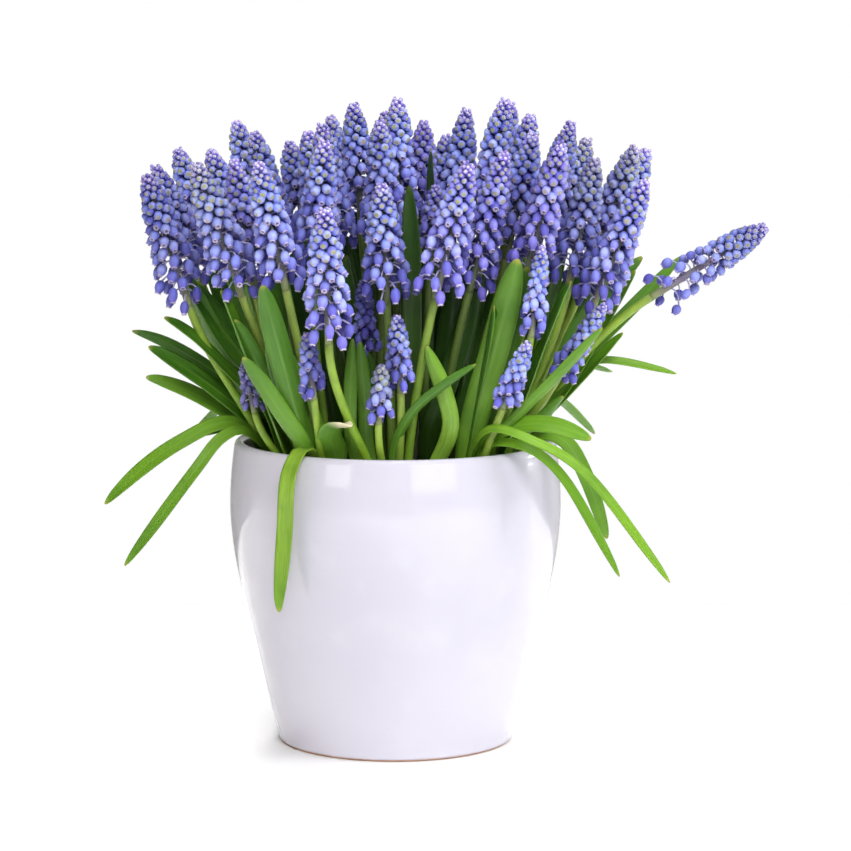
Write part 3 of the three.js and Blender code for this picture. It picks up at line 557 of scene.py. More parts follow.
def floret_material():
    """Waxy bells: periwinkle with a pale mouth, younger buds with a yellow-green face."""
    shader = Shader("floret_skin")
    around_x, around_y, along = shader.parts("petal")
    age, draw, mouth = shader.parts("floret")
    withered, young, shaded = shader.parts("mood")
    body = shader.ramp(
        age,
        [
            (0.0, (0.52, 0.40, 0.80)),
            (0.07, (0.28, 0.24, 0.66)),
            (0.16, (0.17, 0.20, 0.60)),
            (0.3, (0.26, 0.33, 0.83)),
            (0.45, (0.345, 0.425, 0.96)),
            (0.62, (0.33, 0.395, 0.95)),
            (0.78, (0.225, 0.26, 0.83)),
            (0.92, (0.13, 0.13, 0.60)),
            (1.0, (0.10, 0.09, 0.50)),
        ],
    )
    violet = shader.tinted(body, (0.30, 0.20, 0.80), draw, 0.4, 1.0, 0.6)
    # Each of the six tepals has a darker line down its middle, stronger in the older bells.
    angle = shader.math("ARCTAN2", around_y, around_x)
    wave = shader.math("COSINE", shader.times(angle, 6.0))
    line = shader.times(shader.spread(wave, 0.6, 1.0), shader.spread(age, 0.4, 0.9))
    line = shader.times(line, shader.spread(along, 0.25, 0.7, 0.0, 0.5))
    lined = shader.mix(line, violet, (0.12, 0.10, 0.55))
    # A pale waxy bloom lies on the bells in patches, least on the oldest; it is thickest near the stalk, the
    # top of a hanging bell, as a painted highlight.
    dusting = shader.spread(shader.noise(260.0, 4.0), 0.4, 0.75)
    freshness = shader.spread(age, 0.6, 1.0, 1.0, 0.2)
    bloom = shader.times(shader.times(dusting, shader.spread(along, 0.0, 0.8, 0.45, 0.1)), freshness)
    dusted = shader.mix(bloom, lined, (0.60, 0.67, 0.99))
    # Some bells are a full deep blue, others paler.
    sunk, crowd_shade, tone = shader.parts("depth")
    full = shader.tinted(dusted, (0.09, 0.09, 0.46), tone, 0.35, 0.0, 0.75)
    paler = shader.times(shader.spread(tone, 0.5, 1.0, 0.0, 0.5), freshness)
    varied = shader.mix(paler, full, (0.54, 0.61, 0.99))
    # Open bells get painted shade below their widest part, where they face down.
    shade = shader.times(shader.spread(along, 0.5, 0.86), shader.spread(age, 0.3, 0.6, 0.0, 0.45))
    shaded_below = shader.mix(shade, varied, (0.15, 0.10, 0.56))
    face = shader.ramp(
        age,
        [
            (0.0, (0.80, 0.70, 0.90)),
            (0.05, (0.72, 0.64, 0.74)),
            (0.1, (0.46, 0.42, 0.32)),
            (0.24, (0.33, 0.34, 0.17)),
            (0.34, (0.44, 0.39, 0.34)),
            (0.42, (0.60, 0.50, 0.70)),
            (1.0, (0.74, 0.66, 0.84)),
        ],
    )
    faced = shader.tinted(shaded_below, face, mouth, 0.4, 0.95)
    # Painted shade: the inside of an open bell's mouth is dark.
    dark = shader.tinted(faced, (0.10, 0.07, 0.26), mouth, 1.3, 1.9)
    # Withered bells are a dull brown in patches, and unripe ones greener.
    patchy = shader.spread(shader.noise(420.0), 0.3, 0.7, 0.5, 0.95)
    browned = shader.mix(patchy, dark, (0.12, 0.085, 0.16))
    dried = shader.mix(shader.times(withered, 0.8), dark, browned)
    unripe = shader.times(young, shader.spread(age, 0.75, 0.2, 0.0, 0.55))
    green = shader.mix(unripe, dried, (0.33, 0.36, 0.16))
    # Heads in the shade of others get a painted shade.
    coloured = shader.mix(shader.times(shaded, 0.4), green, (0.05, 0.045, 0.2))
    # Painted shade: deep between the florets, and on the sides where the heads crowd each other, the blue is
    # darkened.
    crevice_shade = shader.tinted(coloured, (0.05, 0.045, 0.26), sunk, 0.1, 1.0, 0.75)
    deep = shader.tinted(crevice_shade, (0.035, 0.03, 0.18), crowd_shade, 0.25, 0.95, 0.85)
    shader.set(Base_Color=deep, Roughness=shader.spread(dusting, 0.0, 1.0, 0.36, 0.58))
    shader.set(Specular_IOR_Level=0.4)
    fine = shader.bump(shader.noise(1800.0, 2.0), 0.00006, 0.6)
    ribs = shader.times(wave, shader.spread(along, 0.3, 0.8))
    shader.set(Normal=shader.bump(ribs, 0.00008, 0.7, normal=fine))
    return shader.made


def stalk_material():
    """Flower stems: yellow-green at the bulb, grey-mauve in the head, with fine lengthwise fibres."""
    shader = Shader("stalk_skin")
    up, draw, pale = shader.parts("stalk")
    patches = shader.noise(140.0, 4.0)
    green = shader.ramp(
        up,
        [
            (0.0, (0.22, 0.36, 0.04)),
            (0.4, (0.19, 0.35, 0.02)),
            (0.8, (0.25, 0.39, 0.04)),
            (0.93, (0.25, 0.36, 0.05)),
            (0.97, (0.23, 0.24, 0.14)),
            (1.0, (0.20, 0.16, 0.25)),
        ],
    )
    mottled = shader.tinted(green, (0.10, 0.19, 0.025), patches, 0.35, 0.75, 0.4)
    redder = shader.tinted(mottled, (0.28, 0.2, 0.16), draw, 0.3, 1.0, 0.15)
    lilac = shader.tinted((0.40, 0.36, 0.58), (0.33, 0.33, 0.50), patches, 0.3, 0.7)
    clump_shade = shader.parts("depth")[1]
    # The thin stalks of the florets are lilac, and stems deep in the clump get a painted shade of nearly
    # black-green.
    deep = shader.tinted(shader.mix(pale, redder, lilac), (0.03, 0.05, 0.015), clump_shade, 0.0, 1.0, 0.75)
    shader.set(Base_Color=deep, Roughness=0.42, Specular_IOR_Level=0.45)
    shader.set(Normal=shader.bump(shader.noise(900.0, 3.0), 0.00012, 0.6))
    return shader.made


def leaf_material():
    """Strap leaves: fine parallel veins, a lighter midrib, a paler underside and a few dry tips."""
    shader = Shader("leaf_skin")
    across, length, face = shader.parts("blade")
    tone, draw, share = shader.parts("leaf")
    dry, clump_shade, _ = shader.parts("wear")
    dark = shader.mix(draw, (0.016, 0.078, 0.004), (0.028, 0.108, 0.005))
    bright = shader.mix(draw, (0.22, 0.42, 0.03), (0.16, 0.34, 0.02))
    # A blade is yellower towards the bulb and deeper green towards its tip.
    yellowness = shader.math("ADD", tone, shader.spread(share, 0.2, 0.75, 0.22, -0.08), clamp=True)
    plain = shader.mix(yellowness, dark, bright)
    # The brightest blades hang in the light, and are brightest where they bend.
    sunlit = shader.times(shader.spread(tone, 0.9, 1.0), shader.spread(share, 0.4, 1.0, 0.7, 0.2))
    green = shader.mix(sunlit, plain, (0.31, 0.46, 0.05))
    # Veins run the whole length, so their pattern changes across the blade and hardly along it.
    seed = shader.times(draw, 50.0)
    lengthwise = shader.joined(across, shader.times(length, 0.012), seed)
    veins = shader.noise(6.0, 3.0, vector=lengthwise, roughness=0.7)
    streaked = shader.tinted(green, (0.085, 0.22, 0.012), veins, 0.35, 0.65, 0.5)
    patches = shader.noise(45.0, 4.0)
    mottled = shader.tinted(streaked, (0.018, 0.085, 0.008), patches, 0.45, 0.75, 0.45)
    aside = shader.math("ABSOLUTE", across)
    rib = shader.times(shader.spread(aside, 0.16, 0.0), shader.spread(share, 1.0, 0.6, 0.0, 0.4))
    ribbed = shader.mix(rib, mottled, (0.19, 0.36, 0.06))
    edge = shader.times(shader.spread(aside, 0.86, 1.0), 0.35)
    edged = shader.mix(edge, ribbed, (0.15, 0.31, 0.025))
    under = shader.tinted(edged, (0.12, 0.28, 0.05), face, 0.2, -0.4, 0.25)
    sheath = shader.tinted(under, (0.50, 0.55, 0.30), share, 0.16, 0.0, 0.75)
    tip = shader.math("ADD", share, shader.times(patches, 0.03))
    dryness = shader.math("ADD", dry, 0.35, clamp=True)
    yellow = shader.times(shader.spread(tip, 0.985, 1.012), dryness)
    aged = shader.mix(yellow, sheath, (0.50, 0.40, 0.08))
    straw = shader.times(shader.spread(tip, 0.84, 0.96), shader.spread(dry, 0.6, 1.0))
    dried = shader.mix(straw, aged, (0.68, 0.62, 0.42))
    # Painted shade: the leaves in the middle of the clump are darkened to a deep dark green.
    shader.set(Base_Color=shader.tinted(dried, (0.008, 0.028, 0.004), clump_shade, 0.0, 1.0, 0.85))
    shader.set(Roughness=shader.spread(patches, 0.3, 0.7, 0.3, 0.46), Specular_IOR_Level=0.38)
    cells = shader.bump(shader.noise(500.0, 1.0), 0.00003, 0.4)
    shader.set(Normal=shader.bump(veins, 0.00012, 0.6, normal=cells))
    return shader.made


def bulb_material():
    """Papery brown bulb skin with lengthwise ribs, paler where it has flaked."""
    shader = Shader("bulb_skin")
    around_x, around_y, up = shader.parts("husk")
    stretched = shader.joined(shader.times(around_x, 9.0), shader.times(around_y, 9.0), up)
    ribs = shader.noise(1.6, 4.0, vector=stretched, roughness=0.6)
    brown = shader.tinted((0.23, 0.12, 0.055), (0.40, 0.26, 0.14), ribs, 0.35, 0.65)
    flaked = shader.tinted(brown, (0.62, 0.52, 0.36), shader.noise(90.0, 4.0), 0.55, 0.68)
    shader.set(Base_Color=flaked, Roughness=0.6)
    shader.set(Normal=shader.bump(ribs, 0.0006, 0.8))
    return shader.made


def soil_material():
    """Dark crumbly potting soil, browner in its clods."""
    shader = Shader("potting_soil")
    grains = shader.noise(420.0, 6.0, roughness=0.7)
    clods = shader.noise(70.0, 4.0)
    dark = shader.tinted((0.018, 0.011, 0.007), (0.085, 0.055, 0.035), grains, 0.3, 0.7)
    shader.set(Base_Color=shader.tinted(dark, (0.05, 0.028, 0.016), clods, 0.4, 0.7, 0.5))
    shader.set(Roughness=shader.spread(clods, 0.3, 0.7, 0.75, 1.0))
    shader.set(Normal=shader.bump(grains, 0.0009, 0.9, normal=shader.bump(clods, 0.002, 0.6)))
    return shader.made


def perlite_material():
    """White porous grains."""
    shader = Shader("perlite_grain")
    pores = shader.noise(900.0, 3.0)
    shader.set(Base_Color=shader.mix(pores, (0.5, 0.47, 0.42), (0.82, 0.8, 0.76)), Roughness=0.9)
    shader.set(Normal=shader.bump(pores, 0.0003))
    return shader.made


def glaze_material():
    """White glaze with a lilac cast, a little uneven, lighter at the foot as painted light bounced from the
    table, and pitted here and there.
    """
    shader = Shader("white_glaze")
    drift = shader.noise(14.0, 3.0)
    patches = shader.noise(60.0, 4.0)
    tint = shader.tinted((0.54, 0.522, 0.61), (0.575, 0.556, 0.635), drift, 0.35, 0.65)
    height = shader.split(shader.place())[2]
    # Painted light: the glaze is lighter towards the foot, for light bounced up from the table.
    foot_lit = shader.tinted(tint, (0.66, 0.64, 0.73), height, 0.06, 0.0, 0.35)
    clouded = shader.tinted(foot_lit, (0.66, 0.65, 0.71), patches, 0.5, 0.8, 0.25)
    pits = shader.node("TexVoronoi", {"Vector": shader.place(), "Scale": 130.0})
    specks = shader.spread(pits.outputs["Distance"], 0.05, 0.02, 0.0, 0.35)
    shader.set(Base_Color=shader.mix(specks, clouded, (0.45, 0.4, 0.4)))
    shader.set(Roughness=shader.spread(patches, 0.3, 0.7, 0.06, 0.12), Specular_IOR_Level=0.5)
    shader.set(Coat_Weight=0.4, Coat_Roughness=0.04)
    # The glaze is faintly rippled round the pot, as a thrown pot's is.
    ripple = shader.noise(1.0, 2.0, vector=shader.joined(drift, 0.0, shader.times(height, 260.0)))
    orange_peel = shader.bump(shader.noise(170.0, 2.0), 0.00004, 0.5)
    shader.set(Normal=shader.bump(ripple, 0.00012, 0.5, normal=orange_peel))
    return shader.made


def clay_material():
    """The bare terracotta of the foot, where the glaze was wiped off."""
    shader = Shader("bare_clay")
    grain = shader.noise(500.0, 5.0, roughness=0.7)
    stains = shader.noise(50.0, 3.0)
    clay = shader.tinted((0.50, 0.26, 0.16), (0.66, 0.42, 0.29), grain, 0.3, 0.7)
    shader.set(Base_Color=shader.tinted(clay, (0.72, 0.58, 0.48), stains, 0.45, 0.7, 0.5))
    shader.set(Roughness=0.85, Normal=shader.bump(grain, 0.0002, 0.8))
    return shader.made


def floor_material():
    """The plain pale table."""
    shader = Shader("pale_floor")
    cloud = shader.noise(1.2, 2.0)
    shader.set(Base_Color=shader.mix(cloud, (0.90, 0.90, 0.90), (0.94, 0.94, 0.94)), Roughness=0.6)
    return shader.made


# ---- Pot and soil -------------------------------------------------------------------------------

POT_SIDES = 192
CLAY_TOP = 0.9  # the glaze ends this far above the table
# The underside and the bare clay round it, and above them the bead where the glaze ends.
FOOT = [(0, 0), (20, 0), (40, 0), (FOOT_RADIUS - 0.6, 0), (FOOT_RADIUS, 0.15), (49.0, 0.6), (49.3, CLAY_TOP)]
BEAD = [(49.75, CLAY_TOP + 0.15), (50.0, CLAY_TOP + 1.0)]
WALL_START = (50.15, 3.2)


def wall_curve(points, steps=6):
    """A smooth curve through a profile's points."""
    line = dense_curve([np.array([r, 0.0, z]) for r, z in points], steps)
    return [(r, z) for r, _, z in line]


def inner_wall():
    """The inside of the wall from the floor up to the lip."""
    followed = [POT_WALL[i] for i in (1, 3, 4, 6, 8)]  # the points of the outer wall that it follows
    return wall_curve([(r - WALL_THICKNESS, z) for r, z in followed])


def inner_radius(height):
    """The radius of the pot's inside at a height."""
    wall = inner_wall()
    return np.interp(height, [z for _, z in wall], [r for r, _ in wall])


def lip():
    """The round edge of the pot, from its outside over the top to its inside."""
    half = 0.5 * WALL_THICKNESS
    wall_radius, wall_top = POT_WALL[-1]
    made = []
    for degrees in range(15, 166, 15):
        turn = math.radians(degrees)
        made.append((wall_radius - half + half * math.cos(turn), wall_top + LIP_RISE * math.sin(turn)))
    return made


def pot():
    """One skin, from the middle of the underside up the wall, over the lip and down to the floor."""
    shape = Shape()
    inside = inner_wall()[::-1]
    low_radius = inside[-1][0]
    corner = [(low_radius - 0.4, 12), (low_radius - 1.5, 9), (low_radius - FLOOR_CORNER, FLOOR_THICKNESS)]
    floor = [(20, FLOOR_THICKNESS), (0, FLOOR_THICKNESS)]
    wall = wall_curve([WALL_START] + POT_WALL[1:])
    turned(shape, FOOT + BEAD + wall + lip() + inside + corner + floor, POT_SIDES)
    # The faces up to the glaze's edge are bare clay.
    centres = shape.points[0][shape.quads[0]].mean(axis=1)
    shape.quad_materials[0][centres[:, 2] < CLAY_TOP] = 1
    shape.triangle_materials[0][:POT_SIDES] = 1
    shape.piece("glazed_pot", [glaze_material(), clay_material()], "glaze", "pot")


def waves(seed, count, shortest, longest):
    """Sine waves in random directions, whose sum makes uneven ground."""
    draw = random.Random(seed)
    made = []
    for _ in range(count):
        length = draw.uniform(shortest, longest)
        heading = draw.uniform(0, math.tau)
        phase = draw.uniform(0, 6.28)
        made.append((math.cos(heading) * math.tau / length, math.sin(heading) * math.tau / length, phase))
    return made


def rough_ground(x, y, table, height):
    """How far the sum of some waves lifts the ground, for waves of a height."""
    total = sum(np.sin(x * a + y * b + c) for a, b, c in table)
    return height * total / math.sqrt(len(table))


SOIL_RINGS = 60
SOIL_SIDES = 216
SOIL_EDGE_HEIGHTS = (16, 38, 60, 79, 95, 104)  # where the soil's side follows the pot's wall
CRUMBS = 520
CRUMB_SIDES = 6
PERLITE_SHARE = 0.06
GROUND_WAVES = waves(3, 14, 9, 30)
GRAIN_WAVES = waves(4, 18, 2.5, 5)


def soil_height(x, y):
    """The height of the soil's surface, which closes round each bulb."""
    height = SOIL_LEVEL + rough_ground(x, y, GROUND_WAVES, 0.55) + rough_ground(x, y, GRAIN_WAVES, 0.3)
    for bulb in bulbs:
        away = np.hypot(x - bulb["place"][0], y - bulb["place"][1])
        sunk = np.clip((BULB_NECK_RADIUS + 1.1 - away) / 0.9, 0, 1)
        height = height * (1 - sunk) + (BULB_BASE - GAP) * sunk
    return height


def crumb(shape, place, size, draw, material):
    """A small uneven lump: three rings and two ends, pushed in and out at random."""
    rings = []
    for height, radius in ((-0.55, 0.75), (0.0, 1.0), (0.55, 0.7)):
        for i in range(CRUMB_SIDES):
            angle = i * math.tau / CRUMB_SIDES
            out = radius * draw.uniform(0.75, 1.2)
            rings.append((out * math.cos(angle), out * math.sin(angle), height * draw.uniform(0.8, 1.2)))
    points = np.array(rings + [(0, 0, -0.9), (0, 0, 0.9)]) * size
    points *= (draw.uniform(0.8, 1.4), draw.uniform(0.7, 1.1), draw.uniform(0.6, 0.9))
    turn = draw.uniform(0, math.tau)
    spin = np.array([[math.cos(turn), -math.sin(turn), 0], [math.sin(turn), math.cos(turn), 0], [0, 0, 1]])
    shape.add(points @ spin.T + place, *loft_faces(3, CRUMB_SIDES), material=material)


def soil():
    """The soil's skin, open where the bulbs stand, with crumbs and white perlite scattered on it."""
    shape = Shape()
    angles = turns(SOIL_SIDES)
    edge = inner_radius(SOIL_LEVEL) - GAP
    base = FLOOR_THICKNESS + GAP
    rings = [ring(inner_radius(SOIL_EDGE_HEIGHTS[0]) - FLOOR_CORNER - GAP, angles, base)]
    rings += [ring(inner_radius(z) - GAP, angles, z) for z in SOIL_EDGE_HEIGHTS]
    for radius in np.linspace(edge, edge / SOIL_RINGS, SOIL_RINGS):
        x, y, _ = ring(radius, angles, 0.0).T
        rings.append(columns(SOIL_SIDES, x, y, soil_height(x, y)))
    middle = float(soil_height(np.array(0.0), np.array(0.0)))
    points = np.concatenate([*rings, [(0, 0, base)], [(0, 0, middle)]])
    shape.add(points, *loft_faces(len(rings), SOIL_SIDES))
    draw = random.Random(11)
    scattered = 0
    while scattered < CRUMBS:
        radius, angle = (edge - 2) * math.sqrt(draw.random()), draw.uniform(0, math.tau)
        spot = in_plan(radius, angle)
        nearest = min(np.linalg.norm(spot - bulb["place"]) for bulb in bulbs)
        if nearest < BULB_NECK_RADIUS + 0.8:
            continue
        size = draw.uniform(0.6, 1.7) * (1.2 if nearest < 14 else 1.0)
        white = draw.random() < PERLITE_SHARE
        spot[2] = float(soil_height(spot[0], spot[1])) + 0.25 * size
        crumb(shape, spot, size * (0.8 if white else 1.0), draw, int(white))
        scattered += 1
    shape.piece("potting_soil", [soil_material(), perlite_material()], "soil", "soil")


# ---- Bulbs, stems and leaves --------------------------------------------------------------------

BULB_SIDES = 28
HUSK_STRETCH = 0.1  # the skin's ribs are this much finer round the bulb than along it
HUSK_ENDS = [(0, 0, 8.2), (0, 0, 10.9)]  # where its pattern closes, at the base and at the top
BULB_PROFILE = [
    (0, BULB_BASE),
    (4.2, BULB_BASE + 0.1),
    (6.6, 83.8),
    (9.2, 87.5),
    (10.8, 91.5),
    (11.2, 95),
    (11.1, 99),
    (10.8, 103),
    (10.5, 106.5),
    (10.1, 108.2),
    (9.2, 109.2),
    (7.6, 109.7),
    (5.0, 109.4),
    (0, 109.2),
]


def bulb_piece(number, bulb):
    """A ribbed bulb in its hole of the soil."""
    shape = Shape("husk")
    draw = random.Random(50 + number)
    angles = turns(BULB_SIDES)
    ribs = np.array([draw.uniform(-0.12, 0.12) for _ in angles])
    rings = [ring(radius + ribs * (radius / 11), angles, z) for radius, z in BULB_PROFILE[1:-1]]
    husk = [ring(1.0, angles, z * HUSK_STRETCH) for _, z in BULB_PROFILE[1:-1]]
    ends = [(0, 0, BULB_PROFILE[0][1]), (0, 0, BULB_PROFILE[-1][1])]
    points = np.concatenate([*rings, ends]) + bulb["place"]
    husk = np.concatenate([*husk, HUSK_ENDS])
    shape.add(points, *loft_faces(len(rings), BULB_SIDES), husk=husk)
    shape.piece(f"bulb_{number:02d}", [skins["bulb"]], "leaf", f"plant_{number:02d}")


STEM_SIDES = 12
STEM_RINGS = 26


def stem_path(bulb, head):
    """From its place on the bulb, upright at first, to just below the head and in line with it."""
    foot, _, direction = head_axis(head)
    base = start_on(bulb, foot)
    towards = foot - base
    end = foot - direction * GAP
    length = np.linalg.norm(end - base)
    set_out = base + [towards[0] * STEM_SET_OUT, towards[1] * STEM_SET_OUT, length * STEM_UPRIGHT]
    come_in = end - direction * (length * STEM_IN_LINE)
    return bezier([base, set_out, come_in, end], np.linspace(0, 1, STEM_RINGS))


def stems_piece(number, carried):
    """The stems of one plant, slimmer under the small heads."""
    shape = Shape("stalk", "depth")
    draw = random.Random(80 + number)
    for head in carried:
        path = stem_path(bulbs[number - 1], head)
        shade = draw.random()
        slim = min(1.0, 0.55 + 0.45 * head["radius"] / 10.5)
        radii = [STEM_RADIUS * slim * (1 - 0.1 * i / STEM_RINGS) for i in range(STEM_RINGS)]
        # How deep in the clump the stem runs, for its painted shade.
        clump_shade = inner_share(path)
        rings = np.linspace(0, 1, STEM_RINGS)
        depth = lambda up: (0.0, np.interp(up, rings, clump_shade), 0.0)
        tube(shape, path, radii, STEM_SIDES, stalk=lambda up: (0.95 * up, shade, 0.0), depth=depth)
    if carried:
        shape.piece(f"stems_{number:02d}", [skins["stalk"]], "leaf", f"plant_{number:02d}")


LEAF_POINTS_ACROSS = 9
LEAF_LEAST_RINGS = 26
LEAF_RING_SPACING = 3
LEAF_TIP_CROWDING = 1.5  # above 1, rings are closer together towards the tip
LEAF_LAST_RING = 0.997  # share of its length
LEAF_EDGE = 0.45  # thickness at the edges, and how much more there is in the middle
LEAF_BODY = 0.7
LEAF_KEEL = 0.3  # how far the keel stands out below, and its half width as a share of the blade's
LEAF_KEEL_WIDTH = 0.2
LEAF_TWIST = 0.12  # most that a blade turns by chance on its way, in radians
LEAF_RIPPLE = 0.02  # how far the edges wave, as a share of the width, and how long the waves are
LEAF_RIPPLE_LENGTH = 7


def half_width(width, t):
    """A strap leaf's half width along its length, from 0 at the bulb to 1 at the tip."""
    opening = math.sin(min(t / LEAF_WIDEST, 1) * (math.pi / 2))
    base = LEAF_BASE_SHARE + (1 - LEAF_BASE_SHARE) * opening
    narrowing = max(0.0, (t - LEAF_NARROWS) / (1 - LEAF_NARROWS))
    return (width / 2) * base * math.sqrt(max(0.0, 1 - narrowing**2))


def turned_about(vector, axis, angle):
    """A vector turned about an axis of length 1."""
    return (
        vector * math.cos(angle)
        + np.cross(axis, vector) * math.sin(angle)
        + axis * np.dot(axis, vector) * (1 - math.cos(angle))
    )


def leaf(shape, points, width, way, roll, tone, draw, dry=0.0):
    """A channelled strap leaf with a keel, thin edges and a rounded tip."""
    line = dense_curve(points)
    rough_length = np.linalg.norm(np.diff(line, axis=0), axis=1).sum()
    steps = max(LEAF_LEAST_RINGS, int(rough_length / LEAF_RING_SPACING))
    shares = 1 - (1 - np.linspace(0, 1, steps + 1)[:-1]) ** LEAF_TIP_CROWDING
    shares = np.append(shares, [LEAF_LAST_RING])
    centres, tangents, length = along_curve(line, shares)
    across = in_plan(1, way + math.pi / 2)
    a = np.linspace(1, -1, LEAF_POINTS_ACROSS)
    both = np.concatenate([a, a[::-1]])
    face = np.repeat([1.0, -1.0], LEAF_POINTS_ACROSS)  # the upper and the lower side
    shade, sway, phase = draw.random(), draw.uniform(-LEAF_TWIST, LEAF_TWIST), draw.uniform(0, math.tau)
    rings, blade = [], []
    for t, centre, along in zip(shares, centres, tangents):
        side = unit(across - along * np.dot(across, along))
        side = turned_about(side, along, math.radians(roll) + sway * math.sin(3 * t + phase) * t)
        up = np.cross(along, side)
        half = half_width(width, t)
        narrow = min(1.0, half / (0.3 * width))  # below 1 only near the tip
        lift = LEAF_CHANNEL * width * (a**2) * narrow**2
        wave = LEAF_RIPPLE * width * np.sin(t * length / LEAF_RIPPLE_LENGTH + phase + a) * np.abs(a)
        middle = lift + wave
        thick = (LEAF_EDGE + LEAF_BODY * (1 - a**2)) * (0.35 + 0.65 * narrow)
        keel = LEAF_KEEL * np.exp(-((a / LEAF_KEEL_WIDTH) ** 2)) * narrow
        top = centre + np.outer(half * a, side) + np.outer(middle + thick / 2, up)
        low = centre + np.outer(half * a, side) + np.outer(middle - thick / 2 - keel, up)
        rings.append(np.concatenate([top, low[::-1]]))
        blade.append(columns(len(both), both, t * length, face))
    points = np.concatenate([*rings, [centres[0]], [line[-1]]])
    blade = np.concatenate([*blade, [(0, 0, 0)], [(0, length, 0)]])
    t = np.concatenate([np.repeat(shares, len(both)), [0, 1]])
    look = columns(len(t), tone, shade, t)
    # How dry the blade is, and how much painted shade it has deep in the clump.
    wear = columns(len(t), dry, inner_share(points), 0)
    shape.add(points, *loft_faces(len(rings), len(both)), blade=blade, leaf=look, wear=wear)


def rosette_leaf(shape, bulb, row, draw):
    """A leaf that stands beside the line of the fan through its bulb."""
    aside, reach, height, width = row[:4]
    way = bulb["angle"] + math.radians(aside)
    foot = BULB_TOP - CROWN_DEPTH
    points = []
    for t in (0, 0.35, 0.7, 1):
        z = foot + (height - foot) * t
        away = in_plan(CROWN_RADIUS + (reach - CROWN_RADIUS) * t**ROSETTE_BEND, way)
        points.append((bulb["place"] + away) * spread(z) + [0, 0, z])
    leaf(shape, points, width, way, 0, draw.uniform(0.0, 0.35), draw)


def arching_leaf(shape, bulb, row, draw):
    """A leaf on an even arch from its bulb out over the rim."""
    aside, reach, height, width = row
    way = bulb["angle"] + math.radians(aside)
    start = np.linalg.norm(bulb["place"]) + CROWN_RADIUS / 2
    rise = height - SOIL_LEVEL
    arch = (reach - start) * LEAF_ARCH
    points = []
    for t in (0, 0.3, 0.65, 1):
        radius = start + (reach - start) * t**LEAF_TURN_OUT
        angle = bulb["angle"] + (way - bulb["angle"]) * t
        points.append(in_plan(radius, angle, SOIL_LEVEL + rise * t + arch * 4 * t * (1 - t)))
    leaf(shape, points, width, way, 0, draw.uniform(0.3, 0.8), draw)


def leaves_piece(number, bulb):
    """All the leaves of one plant."""
    shape = Shape("blade", "leaf", "wear")
    draw = random.Random(20 + number)
    for width, roll, tone, points, *dry in LEAVES + INNER_LEAVES:
        points = [np.array(point, float) for point in points]
        if bulb_under(points[0]) is not bulb:
            continue
        way = math.atan2(points[-1][1] - bulb["place"][1], points[-1][0] - bulb["place"][0])
        leaf(shape, [start_on(bulb, points[0]), *points], width, way, roll, tone, draw, *dry)
    index = number - 1
    rosette = INNER_ROSETTE if index >= OUTER_BULBS else [row for row in OUTER_ROSETTE if index in row[4]]
    for row in rosette:
        rosette_leaf(shape, bulb, row, draw)
    if index in BACK_PLANTS:
        for row in ARCHING_LEAVES:
            arching_leaf(shape, bulb, row, draw)
    shape.piece(f"leaves_{number:02d}", [skins["leaf"]], "leaf", f"plant_{number:02d}")


# ---- Flower heads -------------------------------------------------------------------------------

BELL_SIDES = 12
BUD_SIDES = 10
SMALL_BUD_SIDES = 8
# A floret's outline from its stalk, as (share of its length, share of its half width, how much of
# its mouth's colour it has: 1 is the rim or a bud's face, 2 the inside, painted dark as shade).
OPEN_BELL = [
    (0.0, 0.0, 0),
    (0.04, 0.42, 0),
    (0.17, 0.82, 0),
    (0.4, 1.0, 0),
    (0.64, 0.93, 0),
    (0.83, 0.66, 0.2),
    (0.9, 0.52, 0.7),
    (1.0, 0.62, 1),
    (0.94, 0.4, 1.4),
    (0.8, 0.0, 2),
]
CLOSED_BUD = [
    (0.0, 0.0, 0),
    (0.08, 0.5, 0),
    (0.34, 0.92, 0),
    (0.66, 1.0, 0),
    (0.84, 0.9, 0),
    (0.95, 0.7, 0.2),
    (0.99, 0.5, 1),
    (0.99, 0.0, 1),
]
SMALL_BUD = [
    (0.0, 0.0, 0),
    (0.14, 0.64, 0),
    (0.5, 1.0, 0),
    (0.84, 0.88, 0),
    (0.99, 0.48, 1),
    (0.99, 0.0, 1),
]
LOBE_REACH = 0.12  # how far the six teeth of an open bell turn outwards
LOBE_DIP = 0.05  # and how far the rim draws back between them

# How florets change up a head, at shares of its length from its foot to its tip.
UP_THE_HEAD = [0.0, 0.12, 0.3, 0.45, 0.6, 0.72, 0.82, 0.92, 1.0]
FLORETS_PER_MM = [0.75, 1.05, 1.35, 1.6, 2.05, 2.55, 3.1, 3.9, 5.5]
FLORET_LENGTH = [5.6, 5.7, 5.6, 5.3, 4.7, 3.8, 3.2, 2.4, 1.4]
FLORET_WIDTH = [3.65, 3.8, 3.85, 3.8, 3.7, 3.4, 2.9, 2.1, 1.3]
FLORET_TILT = [170, 166, 158, 146, 122, 100, 90, 74, 20]  # from upright, in degrees
ENVELOPE = [0.95, 1.02, 1.04, 1.04, 1.03, 1.02, 1.0, 1.0, 1.0]
OPEN_UP_TO = 0.62  # florets above this share are still closed
SMALL_FROM = 0.83  # buds above this share are small
SUNK_BY = 3.5  # a floret's painted shade is darkest this far in from its outermost point
CROWD_REACH = 42  # other heads further off than this cast no painted shade on a floret
CROWD_FULL = 12  # and one as near as this shades it most
STALK_IN_HEAD = [1.5, 1.25, 0.5]  # its radius at the foot, half way up and at the tip
STALK_RINGS = 16
STALK_SIDES = 10
PEDICEL_RADIUS = 0.33
PEDICEL_RINGS = 4
PEDICEL_SIDES = 4
PEDICEL_LEAST = 0.7  # a floret nearer to the stalk than this has none
# How withered and how young the florets of a head are, and how much painted shade they have.
MOODS = {
    None: (0, 0, 0),
    "withered": (1, 0, 0),
    "young": (0, 1, 0),
    "fresh": (0, 0.5, 0),
    "half_shaded": (0, 0, 0.6),
    "shaded": (0, 0, 1),
}


